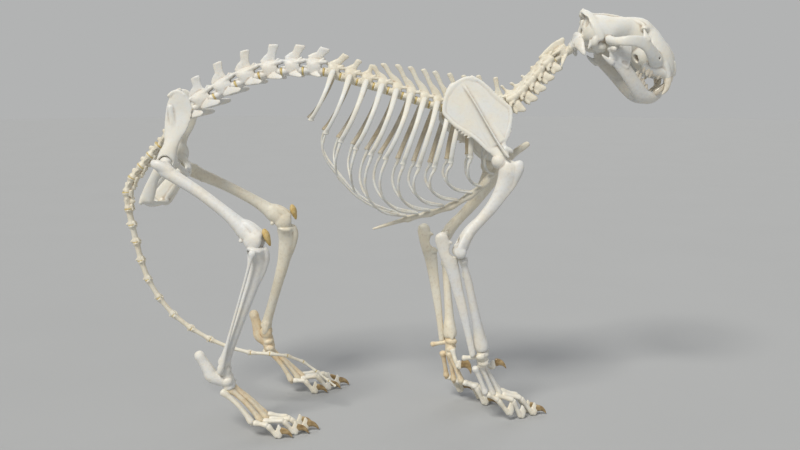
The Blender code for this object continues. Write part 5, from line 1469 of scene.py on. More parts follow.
@dataclass
class Skull:
    """The skull and its upper teeth, in a frame whose x runs along the palate to the nose."""

    frame: Frame = field(default_factory=lambda: tilted_frame((0.357, -0.003, 0.741), 15, HEAD_YAW))
    # x, bottom, widest height, top, half width, squareness.
    braincase: tuple = ((-15, 30, 50, 72, 21, 2.0), (-8, 22, 45, 76, 32, 2.0), (3, 18, 41, 78, 38, 2.0),
            (20, 20, 45, 82, 37.5, 2.1), (40, 22, 52, 84, 35.5, 2.1), (60, 24, 58, 89, 28, 2.1),
            (78, 26, 64, 94.5, 21, 2.2), (95, 26, 70, 97.5, 23, 2.3), (108, 34, 70, 96, 25, 2.3),
            (122, 40, 66, 90, 22, 2.2))
    muzzle: tuple = ((96, 22, 34, 96, 14, 2.2), (108, 10, 34, 96, 27, 2.3), (120, 2, 30, 91, 33, 2.2),
            (135, -3, 26, 83, 35, 2.2), (150, -4, 22, 71.5, 33.5, 2.3), (165, -4, 18, 59.5, 29.5, 2.5),
            (178, -3, 13, 45, 24.5, 2.4), (186, 0, 10, 25, 18.5, 2.3), (191, 2, 7, 13, 14, 2.2))
    # x, y, z, half height, half thickness.
    cheek_arch: tuple = ((150, 24, 20, 12, 8), (140, 33, 22, 15, 9), (127, 43, 27, 16, 8),
            (113, 54, 35, 14.5, 5), (99, 62, 42, 13.0, 3.2), (82, 67, 44, 12.0, 2.6),
            (64, 69, 41, 10.5, 2.6), (50, 66, 37, 9.4, 3.4), (39, 54, 34, 8.0, 6.5), (32, 38, 35, 8.5, 9))

    def bone(self) -> Clay:
        """The skull without its teeth."""
        clay = Clay(self.frame)
        clay.hull(self.braincase)
        clay.hull(self.muzzle)
        clay.both(self.cheek_arch, HIGH, steps=6)
        # The cheek's upward spur and the brow's spur nearly close the eye socket.
        clay.both([(96, 63, 50, 10, 3.2), (92, 61, 58, 6, 2.8), (89, 58, 65, 3.4, 2.2),
                   (87, 55, 70, 1.6, 1.4)], ALONG)
        clay.both([(104, 14, 78, 12, 8), (101, 23, 77, 8, 6), (97, 31, 74, 4.6, 3.8),
                   (94, 37, 71, 2.4, 2.4)], ALONG)
        # Low ridges run from the brow's spurs back to the crest.
        clay.both([(97, 25, 82, 3, 3), (86, 16, 87.5, 3, 2.4), (72, 8, 89.5, 3, 2.2),
                   (58, 1, 86, 2.4, 2.0)], SIDEWAYS)
        for side in (-1, 1):
            clay.knob((22, side * 23, 20), (16, 11, 11))
            clay.knob((7, side * 35, 27), (7, 6.5, 12))
            clay.knob((-5, side * 11, 30), (7, 7, 9.5))
            clay.bar([(2, side * 30, 24, 5, 4), (0, side * 31, 13, 3, 2.6), (-1, side * 31, 8, 1.4, 1.2)],
                     ALONG)
            clay.bar([(92, side * 10, 24, 9, 2.2), (78, side * 11, 20, 10, 1.8),
                      (66, side * 12, 17, 6, 1.5), (58, side * 12, 14, 2.2, 1.2)], HIGH)
            # The tooth row's ridge, the swelling over the eye tooth's root, and the nose bone's edge.
            clay.bar([(170, side * 23, 4, 10, 6), (155, side * 28, 4, 10, 6.5),
                      (140, side * 32, 5, 11, 6.5), (126, side * 34.5, 6, 11, 6),
                      (116, side * 35.5, 8, 8, 5)], HIGH)
            clay.bar([(148, side * 27, 34, 4, 4), (160, side * 27, 22, 6, 5.5), (170, side * 25, 8, 7.5, 6),
                      (174, side * 24, -1, 7.8, 6.2)], ALONG)
            clay.bar([(160, side * 8, 62.5, 2, 5), (176, side * 9, 47.5, 2.0, 4.6),
                      (183, side * 10, 37, 1.6, 3)], HIGH)
            clay.bar([(181, side * 17, 32, 4, 2.6), (187, side * 14.5, 20, 4.5, 3),
                      (190, side * 11, 9, 5, 4)], ALONG)
        crest = [(17, 38, 31, 6, 2.6), (10, 38, 41, 8, 2.6), (1, 34, 54, 9, 2.6), (-7, 25, 65, 9.5, 2.6),
                 (-14, 13, 74, 10, 2.8), (-18, 0, 78, 10, 3.4), (-14, -13, 74, 10, 2.8),
                 (-7, -25, 65, 9.5, 2.6), (1, -34, 54, 9, 2.6), (10, -38, 41, 8, 2.6),
                 (17, -38, 31, 6, 2.6)]
        clay.bar(crest, (1, 0, 0.2), steps=6)
        clay.bar([(-25, 0, 76, 8.5, 3.0), (-14, 0, 74, 9, 2.0), (2, 0, 73, 9, 1.7), (24, 0, 79, 9, 1.5),
                  (46, 0, 83, 8, 1.3), (60, 0, 85.5, 5, 1.2)], HIGH, steps=6)
        clay.bar([(-10, 0, 40, 4, 1.4), (-18, 0, 62, 5, 1.4)], ALONG)
        # Openings: nose, spine, eye sockets, ears, cheek holes, and the hollows of the back wall.
        clay.knob((190, 0, 30), (20, 12.5, 15), scoop=True)
        clay.knob((176, 0, 27), (16, 9, 11), scoop=True)
        clay.knob((-12, 0, 38), (11, 8.5, 8.5), scoop=True)
        clay.knobs((111, 45, 60), (18, 19, 16), scoop=True)
        clay.knobs((97, 42, 60), (20, 17, 19), scoop=True)
        clay.knobs((23, 38, 29), (4.0, 7, 3.6), scoop=True)
        clay.knobs((139, 42, 28), (3.4, 9, 3.0), scoop=True)
        clay.knobs((-19, 19, 56), (9, 12, 13), scoop=True)
        clay.knobs((108, 14, 20), (12, 6, 8), scoop=True)
        return clay

    def teeth(self) -> Clay:
        """The upper teeth."""
        clay = Clay(self.frame)
        clay.both([(172, 23.5, 6, 7.8, 5.6), (176, 24.5, -5, 7.4, 5.4), (178.5, 25, -15, 5.9, 4.6),
                   (178, 25, -25, 3.9, 3.2), (175, 24.4, -32, 2.2, 2.0), (173, 24, -35.5, 0.8, 0.8)], ALONG,
                  steps=6, dome=0.9)
        for side in (-1, 1):
            # The last big cheek tooth is a blade of three points, the ones before it have one or two.
            for x, y, tip, long, wide in ((133, 36, -12.5, 4.2, 3.4), (126, 37.5, -11, 4.4, 3.0),
                    (140, 34, -7.5, 3, 2.6), (117, 38, -7.5, 2.6, 2.4), (153, 30.5, -10.5, 4.4, 3.2),
                    (147, 32.5, -7, 2.6, 2.6), (159, 28.5, -6, 2.4, 2.2), (165, 26.5, -5, 1.8, 1.8)):
                clay.bar([(x, side * y, 4, long, wide), (x, side * y, -2, long * 1.1, wide * 1.05),
                          (x, side * y, (tip - 2) / 2, long * 0.7, wide * 0.65),
                          (x, side * (y - 0.5), tip, long * 0.2, wide * 0.22)], ALONG, dome=0.8)
            for x, y, size in ((187.5, 13.2, 3.0), (190, 8.3, 2.5), (191, 3.4, 2.2)):
                clay.bar([(x - 1, side * y, 6, size, size * 0.95), (x, side * y, -2, size * 1.05,
                        size * 0.95), (x - 0.5, side * y, -7.5 if size < 3 else -10, size * 0.45,
                        size * 0.5)], ALONG)
        return clay

    def build(self, museum: Museum) -> None:
        """Builds the skull and its upper teeth."""
        look = museum.finishes
        museum.show(museum.cast("skull_bone", self.bone(), look.blade_bone, voxel=1.32, smoothing=4,
                grain=0.5, grain_mm=7.0), "skull")
        museum.show(museum.cast("upper_teeth", self.teeth(), look.enamel, voxel=0.84, smoothing=2,
                grain=0.1))


@dataclass
class Jaw:
    """The lower jaw, hung open from the skull's joint, and its teeth."""

    skull: Skull
    gape: float = 31.5

    @property
    def frame(self) -> Frame:
        """The jaw's own frame, its x along its tooth row from the joint."""
        return tilted_frame(self.skull.frame.at(40.5, 0, 19.2), self.gape, HEAD_YAW)

    def bone(self) -> Clay:
        """Both halves of the jaw, joined at the chin."""
        clay = Clay(self.frame)
        clay.both([(12, 43, -10, 12, 3.4), (40, 38, -16, 13.5, 4.4), (65, 33, -23, 14, 5.6),
                   (90, 26, -31, 15, 6.4), (112, 18, -36, 14.5, 7), (130, 9.5, -30, 13, 7.5),
                   (141, 5, -19, 11.5, 6.5), (147, 3, -9, 7.5, 5)], (0.25, 0, 1), steps=6)
        clay.both([(26, 42, -14, 18, 3.4), (25, 43, -2, 17, 2.8), (23, 43.5, 8, 14.5, 2.5),
                   (20, 44, 18, 11.5, 2.3), (17, 44.6, 27, 8, 2.1), (13, 45, 34, 4, 1.8)], ALONG, steps=6)
        # The coronoid's front edge is a strong rib.
        clay.both([(46, 40, -12, 4.4, 4.4), (40, 42, 4, 3.6, 3.6), (33, 43.5, 18, 3.0, 3.0),
                   (24, 44.5, 29, 2.6, 2.4), (15, 45, 35, 2.0, 1.8)], ALONG)
        clay.both([(0, 30, 0, 5.0, 4.6), (0.5, 38, 0, 6.0, 5.4), (0.5, 50, 0, 6.0, 5.4),
                   (0, 58, 0, 4.8, 4.4)])
        clay.both([(2, 44, -1, 6.5, 6), (14, 43, -12, 9, 4.4)], ALONG)
        clay.both([(16, 43, -20, 7, 4), (4, 43, -21, 4.6, 3.4), (-6, 43, -20, 2.6, 2.2),
                   (-11, 42.5, -18.5, 1.4, 1.3)], HIGH)
        clay.knobs((26, 49.5, 2), (19, 5.4, 13), scoop=True)
        clay.knobs((40, 46.5, -8), (13, 4.6, 8), scoop=True)
        clay.knobs((118, 24.5, -33), (2.0, 5, 1.7), scoop=True)
        clay.knobs((108, 27.5, -36), (1.8, 5, 1.5), scoop=True)
        clay.knobs((124, 20.5, -26), (1.6, 4, 1.3), scoop=True)
        return clay

    def teeth(self) -> Clay:
        """The lower teeth."""
        clay = Clay(self.frame)
        clay.both([(134, 12.5, -16, 6.6, 5.2), (138.5, 14.5, -4, 6.2, 4.8), (140.5, 16, 7, 4.4, 3.6),
                   (140, 17, 15, 2.4, 2.2), (138, 17, 20, 0.9, 0.9)], ALONG, steps=6, dome=0.9)
        for side in (-1, 1):
            for x, y, root, tip, long in ((74, 31, -14, -2, 4.4), (82, 29, -16, -3, 4.6),
                    (93, 25.5, -20, -7, 4.6), (99, 24, -21, -12, 3.0), (87.5, 27, -19, -11, 2.8),
                    (107, 20.5, -24, -13, 4.2), (112, 18.5, -25, -18, 2.4)):
                clay.bar([(x, side * y, root - 4, long, 3.2), (x, side * y, root + 2, long * 1.05, 3.3),
                          (x, side * y, (root + tip) / 2 + 3, long * 0.62, 2.2),
                          (x, side * y, tip, long * 0.18, 0.7)], ALONG, dome=0.8)
            for y, size in ((2.4, 1.9), (6.0, 2.2), (9.4, 2.4)):
                x = 147 - y / 3
                clay.bar([(x - 1, side * y, -12, size, size), (x, side * y, -4, size * 1.05, size),
                          (x, side * y, 1.5, size * 0.6, size * 0.8)], ALONG)
        return clay

    def build(self, museum: Museum) -> None:
        """Builds the jaw and its teeth."""
        look = museum.finishes
        museum.show(museum.cast("jaw_bone", self.bone(), look.bone, voxel=1.2, smoothing=4), "jaw")
        museum.show(museum.cast("lower_teeth", self.teeth(), look.enamel, voxel=0.84, smoothing=2,
                grain=0.1))


# The limbs


def limb_clay(upper: Vector, lower: Vector, side: Side) -> tuple[Clay, float]:
    """An empty clay along a limb bone, and the bone's length in millimetres."""
    return Clay(limb_frame(upper, lower, side)), (lower - upper).length / MM


def tapered(clay: Clay, places: Sequence[Vector], radii: Sequence[float], wide: Vector = ACROSS,
            flat: float = 1.0) -> Clay:
    """Adds a round or oval bar through world places.

    Args:
        clay: what it is added to, in the world's frame.
        places: the places in metres.
        radii: half sizes in millimetres, along `wide`.
        wide: the direction of the half sizes.
        flat: the other half size as a share of the first.

    Returns:
        The clay.
    """
    rows = [(*(place / MM), radius, radius * flat) for place, radius in zip(places, radii)]
    return clay.bar(rows, tuple(wide))


def claw_shape() -> Shape:
    """One claw sheath: its root at the origin, x forwards and z up, in metres."""
    rows = [(x * MM, 0, z * MM, tall * MM, thick * MM) for x, z, tall, thick in ((-1.0, 0.0, 6.4, 2.9),
            (2.5, 0.6, 6.6, 3.1), (7, 0.6, 5.6, 2.9), (12, -0.8, 4.4, 2.4), (16, -3.4, 3.1, 1.8),
            (19, -6.6, 1.9, 1.2), (21, -10.0, 0.6, 0.5))]
    return strand(rows, UP, sides=20, steps=4, dome=0.3)


@dataclass
class Toe:
    """One toe that stands on the floor: two long bones and the claw's bone, held upright.

    Fields:
        knuckle: where it starts, in metres.
        middle: its middle joint.
        stand: the lowest point of its last joint.
        sheath: whether the claw still has its horn.
        radius: half size of its first bone, in millimetres.
        claw_size: the sheath's size along its own axes, 1 for its drawn one.
    """

    knuckle: Triple
    middle: Triple
    stand: Triple
    sheath: bool = True
    radius: float = 5.8
    claw_size: Triple = (1.18, 1.15, 1.18)

    def bones(self) -> Clay:
        """The toe's three bones."""
        knuckle, middle = Vector(self.knuckle), Vector(self.middle)
        floor = Vector(self.stand) + UP * LAST_JOINT
        forward = self.forward()
        clay = Clay(WORLD)
        radius = self.radius
        start = knuckle + (middle - knuckle).normalized() * (radius * 1.05 * MM)
        run = middle - start
        tapered(clay, [start, start + run * 0.14, start + run * 0.35, start + run * 0.62,
                start + run * 0.84, middle - run.normalized() * 0.0012], (radius * 1.02, radius * 1.08,
                radius * 0.84, radius * 0.78, radius * 0.96, radius * 0.98), flat=0.88)
        run = floor - middle
        side = forward.cross(UP)
        top = middle + run.normalized() * 0.0028
        run = floor - top
        tapered(clay, [top, top + run * 0.18, top + run * 0.45, top + run * 0.75,
                floor - run.normalized() * 0.0005], (radius * 1.0, radius * 0.98, radius * 0.78,
                radius * 0.84, 5.4), wide=side, flat=0.92)
        root = floor + forward * 0.0035
        clay.bar([(*((root + forward * ahead * MM + UP * high * MM) / MM), tall, thick) for ahead, high,
                  tall, thick in ((0, -2, 5.4, 4.2), (0.5, 4, 7.2, 4.0), (1, 10, 7.0, 3.4),
                (1, 15.5, 5.0, 2.8), (0.5, 20, 2.8, 2.0), (0, 22.5, 1.4, 1.4))], tuple(forward))
        if not self.sheath:
            return clay
        core = root + forward * 0.003 + UP * CLAW_SEAT
        clay.bar([(*(core / MM), 5.0, 2.3), (*((core + forward * 0.006) / MM), 4.4, 2.0),
                  (*((core + forward * 0.012 - UP * 0.002) / MM), 2.6, 1.3),
                  (*((core + forward * 0.0165 - UP * 0.0055) / MM), 0.8, 0.6)], HIGH)
        return clay

    def forward(self) -> Vector:
        """The level direction that the toe points in."""
        way = Vector(self.stand) - Vector(self.knuckle)
        way.z = 0
        return way.normalized()

    def claw(self) -> Place:
        """Where the claw's sheath sits, how it turns, and its size."""
        forward = self.forward()
        root = Vector(self.stand) + UP * LAST_JOINT + forward * 0.0055 + UP * CLAW_SEAT
        turn = Matrix((forward, UP.cross(forward), UP)).transposed()
        return root, turn, self.claw_size


@dataclass
class Foot:
    """The long foot bones and the toes of one foot, from the outermost toe inwards.

    Fields:
        root: the middle of the row that the long bones start in, in metres.
        toes: the toes that they lead to.
        side: the side of the body.
        long_radius: half a long bone's size, in millimetres.
        bow: how far the long bones bow up, in millimetres.
        offsets: how far forward and up each one starts, in millimetres.
        spread: twice the way from one start to the next, in millimetres.
    """

    root: Vector
    toes: Sequence[Toe]
    side: Side
    long_radius: float
    bow: float
    offsets: tuple = ((-13, -4), (-2, 0), (2, 4), (0, 1))
    spread: float = 14

    def long_bones(self) -> list[Clay]:
        """The four long bones between the wrist or heel and the toes."""
        clays = []
        for i, toe in enumerate(self.toes):
            knuckle = Vector(toe.knuckle)
            back, high = self.offsets[i]
            start = self.root + Vector((back, self.side.value * (1.5 - i) / 2 * self.spread, high)) * MM
            along = knuckle - start
            places, radii = [], []
            for share, size in ((0, 1.28), (0.08, 1.2), (0.2, 0.9), (0.5, 0.80), (0.78, 0.84), (0.9, 1.08),
                                (0.97, 1.18), (1, 1.05)):
                bend = math.sin(math.pi * share) * self.bow
                places.append(start + along * share + Vector((bend * 0.5, 0, bend)) * MM)
                radii.append(self.long_radius * size)
            clay = tapered(Clay(WORLD), places, radii, flat=0.92)
            # The pulley at its lower end has a keel behind.
            end = knuckle + along.normalized() * 0.0015
            clay.bar([(*((end + Vector((0.002, 0, -0.003))) / MM), 3.4, 1.1),
                      (*((end - Vector((0.003, 0, 0.003))) / MM), 3.0, 1.1)], HIGH)
            clays.append(clay)
        return clays


@dataclass
class ForeLimb:
    """Shoulder blade, upper and lower arm, wrist and paw of one side, joints in metres.

    Fields:
        wrist_spur: the tip of the bone that points back from the wrist.
        dewclaw: the inner toe's joints, then the places that its claw points along.
        bow: how far the upper arm's front bows, as a share of its fullest.
        thumb_claw: the inner toe's sheath's size along its own axes.
    """

    side: Side
    shoulder: Vector
    blade_top: Vector
    elbow: Vector
    wrist: Vector
    paw_root: Vector
    radius_head: Vector
    ulna_top: Vector
    ulna_foot: Vector
    wrist_spur: Vector
    toes: Sequence[Toe]
    dewclaw: Sequence[Triple]
    bow: float = 1.0
    thumb_claw: Triple = (1.0, 1.25, 1.25)

    def blade(self) -> Clay:
        """The shoulder blade: a broad thin plate with a ridge down its outer face."""
        up = (self.blade_top - self.shoulder).normalized()
        out = ACROSS * self.side.value
        out = (out - up * out.dot(up)).normalized()
        clay = Clay(Frame(self.shoulder, up, out.cross(up) * self.side.value, out))
        plate = [(5, -14, 15, 8.0), (14, -15, 18, 6.2), (22, -17, 19, 4.4), (33, -22, 25, 2.4),
                 (57, -31, 47, 1.5), (80, -44, 57, 1.3), (97, -55, 50, 1.3), (119, -63, 40, 1.4),
                 (132, -64, 37, 1.5), (152, -50, 28, 1.7), (169, -30, 16, 2.0)]
        clay.bar([(a, (low + high) / 2, -0.4, (high - low) / 2, thick) for a, low, high, thick in plate],
                 SIDEWAYS, sides=48, steps=5)
        # Both long edges and the top have a thicker rim.
        clay.bar([(a, low + 2.0, -0.4, 3.4, 2.3) for a, low, *_ in plate[2:]], SIDEWAYS, sides=12)
        clay.bar([(a, high - 2.0, -0.4, 3.2, 2.1) for a, _, high, _ in plate[3:]], SIDEWAYS, sides=12)
        clay.bar([(158, -40, 0, 4.2, 1.9), (167, -24, 0, 4.6, 2.0), (170, -8, 0, 4.6, 2.0),
                  (168, 8, 0, 4.4, 2.0), (159, 20, 0, 4.0, 1.8)], ALONG, sides=12)
        # The ridge down the outer face, and the low swellings that it rises from.
        clay.bar([(166, -7, 0, 1.4, 1.4), (140, -4, 2.6, 3.6, 1.3), (110, -1, 4.4, 5.8, 1.3),
                  (80, 1, 6, 8, 1.4), (40, 4, 9, 9.5, 1.8), (22, 6, 12, 8.5, 2.4), (10, 8, 15, 5.5, 3),
                  (1, 10, 17, 3.4, 2.8), (-4, 11, 17.5, 1.8, 1.8)], HIGH, steps=5, dome=0.2)
        for wide, high in ((16, 1.0), (10, 2.2), (5.5, 3.8), (3.2, 5.6)):
            clay.bar([(152, -5, 0, wide * 0.6, 1 + high * 0.3), (110, -1, 0, wide, 1 + high * 0.8),
                      (70, 2, 0, wide, 1 + high), (30, 5, 1, wide, 2.4 + high)], SIDEWAYS)
        clay.bar([(16, 13, 0, 5, 6), (8, 20, -2, 4.5, 4.6), (4, 23, -4, 3.0, 3.2)], SIDEWAYS)
        clay.knob((-3, 0, 0), (6.5, 11, 9), scoop=True)
        return clay

    def upper(self) -> Clay:
        """The upper arm bone."""
        clay, length = limb_clay(self.shoulder, self.elbow, self.side)
        bow = self.bow
        clay.knob((7, -3, -2), (14.5, 15.5, 13.5))
        clay.bar([(a, front * bow, *rest) for a, front, *rest in ((2, 20, 3, 17, 10), (16, 22, 1, 20, 13),
                (36, 25, 0, 17.5, 11), (64, 25, 0, 14.0, 9.5), (93, 21, 0, 12, 9), (125, 12, 0, 10.5, 9),
                (150, 3, 0, 11.5, 11.5), (170, 0, 0, 12.5, 17), (length - 14, 0, 0, 13, 20),
                (length - 6, 1, 0, 11, 19))], steps=6, sides=28)
        clay.bar([(a, front * bow, *rest) for a, front, *rest in ((-7, 31, 7, 8, 6), (0, 34, 8, 10.5, 7),
                (12, 36, 6, 11, 8), (36, 37, 4, 9, 4.5), (66, 33, 4, 6, 3.4), (100, 26, 5, 3.5, 2.6))],
                 steps=6)
        clay.bar([(0, 28 * bow, -9, 6, 4), (14, 28 * bow, -9, 6, 4)])
        # The pulley for the ulna and the ball for the radius, with a groove between.
        clay.bar([(length - 2, 1, -20, 13.2, 13.2), (length - 2, 1, -11, 10.6, 10.6),
                  (length - 2, 1, -3, 10.0, 10.0), (length - 2, 1, 6, 12.2, 12.2),
                  (length - 2, 1, 17, 11.6, 11.6)], ALONG, steps=5, sides=28)
        clay.bar([(length - 32, -3, -14, 5, 4), (length - 18, -4, -20, 6, 4.6),
                  (length - 6, -6, -23, 6.5, 4.2)])
        clay.bar([(length - 40, -3, 12, 5, 2.4), (length - 20, -4, 18, 6, 3.0),
                  (length - 6, -4, 20, 5.4, 3.6)])
        clay.knob((length - 20, -9, 2), (9, 6, 8), scoop=True)
        clay.knob((length - 30, -2, -17.5), (7, 9, 2.4), scoop=True)
        return clay

    def radius(self) -> Clay:
        """The front bone of the lower arm."""
        clay, length = limb_clay(self.radius_head, self.wrist, self.side)
        clay.bar([(1, 0, 0, 9.0, 12), (6, 0, 0, 8.8, 11.6), (13, 0, 0, 6.6, 8.4), (20, 0, 0, 6.0, 7.4),
                  (50, 1, 0, 7.4, 7.8), (100, 1, 0, 8.0, 9.2), (150, 1, 0, 9.8, 10.4),
                  (length - 26, 0, -1, 12.6, 13.4), (length - 13, 0, -1, 14.4, 15),
                  (length - 5, 0, -1, 14, 15.4), (length - 1, 0, -1, 12.6, 13.6)], steps=6, sides=24,
                 dome=0.2)
        clay.bar([(30, -4, -4, 4, 4), (40, -5, -4, 4, 4)])
        clay.bar([(length - 8, 3, -13, 5, 3.4), (length + 2, 3, -14, 3.4, 2.6)])
        for groove in (-7, 3):
            clay.bar([(length - 30, 14, groove, 1.4, 2.2), (length - 2, 15, groove, 2.0, 2.6)], scoop=True)
        return clay

    def ulna(self) -> Clay:
        """The rear bone of the lower arm, with the point of the elbow."""
        clay, length = limb_clay(self.ulna_top, self.ulna_foot, self.side)
        clay.bar([(0, 2, 0, 10.5, 8.0), (5, 3, 0, 12.6, 8.2), (12, 3, 0, 13.2, 7.4), (34, 3, 0, 12.6, 6.4),
                  (52, 7, 0, 14.6, 7.2), (70, 8, 0, 13.4, 6.6), (110, 7, 0, 10.6, 5.2),
                  (160, 6, 0, 8.8, 4.8), (205, 4, 0, 6.8, 4.4), (length - 12, 2, 0, 6.2, 4.4),
                  (length - 2, 1, 0, 5.4, 4.4), (length + 1, 1, 0, 3.6, 3.2)], steps=6, sides=24)
        clay.bar([(55, 14, -3, 7.5, 6.4), (57, 22, -4, 4, 5.4)], ALONG)
        clay.bar([(17, 8, -1, 6, 5), (19, 17, -1, 3.2, 4.4), (22, 20, -1, 2.0, 3.0)], ALONG)
        clay.bar([(2, -2, -4, 5, 3), (6, 10, -4, 3, 2.6)], HIGH)
        clay.knob((37, 19, 0), (13, 9.5, 12), scoop=True)
        return clay

    def wrist_bones(self) -> Clay:
        """The small wrist bones, each with its own rounding, and the spur behind."""
        clay, length = limb_clay(self.wrist, self.paw_root, self.side)
        clay.bar([(2, 0, 0, 11, 13), (length * 0.5, 1, 0, 10, 13.5), (length - 1, 1, 0, 9.4, 14)], dome=0.2)
        clay.knob((7, 2, -8), (7.5, 12.4, 9.2)).knob((7, 1, 5), (7.2, 12.0, 8.0)).knob((8, -4, 13.5),
                (6.4, 8.4, 5.6))
        for out, size in ((-13.5, 5.4), (-6, 6.0), (2, 6.2), (10, 7.0)):
            clay.knob((length - 10, 3, out), (6.6, 10.4, size * 0.92))
        clay.knob((10, 10, -5), (4.0, 4.4, 4.0)).knob((length - 14, 11, 4), (3.6, 3.6, 4.4))
        start, tip = clay.frame.at(12, -2, 7), self.wrist_spur
        spur = Clay(WORLD)
        tapered(spur, [start, start.lerp(tip, 0.3), start.lerp(tip, 0.68), tip], (5.6, 4.2, 3.9, 5.6))
        clay.lumps += spur.lumps
        return clay

    def thumb(self) -> tuple[Clay, Place]:
        """The inner toe, that hangs clear of the floor, and its claw's place, turn and size."""
        points = [Vector(point) for point in self.dewclaw]
        clay = Clay(WORLD)
        tapered(clay, [points[0], points[0].lerp(points[1], 0.5), points[1], points[1].lerp(points[2], 0.6),
                points[2]], (6.0, 4.2, 4.4, 4.0, 5.0))
        forward = (points[4] - points[3]).normalized()
        side = UP.cross(forward)
        up = forward.cross(side)
        root = points[2] + forward * 0.003
        clay.bar([(*((root - UP * 0.002) / MM), 5.0, 4.0), (*((root + UP * 0.006) / MM), 5.6, 3.2),
                  (*((root + UP * 0.013) / MM), 3.0, 2.0)], tuple(forward))
        base = points[3].lerp(points[4], 0.15)
        turn = Matrix((forward, side, up)).transposed()
        return clay, (base + UP * 0.001, turn, self.thumb_claw)

    def build(self, museum: Museum) -> list[Place]:
        """Builds the whole limb.

        Args:
            museum: where the pieces go.

        Returns:
            The places of its claw sheaths.
        """
        look, word = museum.finishes, self.side.word
        far = self.side is Side.LEFT
        # The far limb takes darker, warmer copies of the bone finish: painted shade.
        limb_finish_far_shaded = look.warm_bone if far else look.bone
        museum.show(museum.cast("shoulder_blade_" + word, self.blade(), look.blade_bone, voxel=1.05,
                smoothing=3, grain=0.4, grain_mm=9.0), "scapula_" + word)
        museum.show(museum.cast("upper_arm_" + word, self.upper(), limb_finish_far_shaded, voxel=1.44, smoothing=4),
                    "humerus_" + word)
        museum.show(museum.cast("radius_bone_" + word, self.radius(), limb_finish_far_shaded, voxel=1.32),
                    "radius_" + word)
        museum.show(museum.cast("ulna_bone_" + word, self.ulna(), limb_finish_far_shaded, voxel=1.2), "ulna_" + word)
        foot = Foot(self.paw_root, self.toes, self.side, long_radius=5.8, bow=1)
        # Painted shade: the far palm and wrist take the darker tan foot finish.
        foot_finish_far_shaded = look.foot_bone if far else look.bone
        museum.show(museum.cast("wrist_bones_" + word, self.wrist_bones(), look.foot_bone if far
                else look.toe_bone, voxel=0.96, smoothing=3, grain=0.6), "carpus_" + word)
        museum.show(museum.cast("palm_bones_" + word, foot.long_bones(), foot_finish_far_shaded, voxel=0.96,
                smoothing=3), "metacarpus_" + word)
        thumb, thumb_claw = self.thumb()
        names = ["fore_digit_%d_%s" % (5 - i, word) for i in range(4)]
        museum.show(museum.cast("fore_toes_" + word, [toe.bones() for toe in self.toes] + [thumb],
                look.toe_bone, voxel=0.84, smoothing=3, grain=0.3), "fore_digit_1_" + word, *names,
                    slot="toe_bone")
        return [toe.claw() for toe in self.toes if toe.sheath] + [thumb_claw]


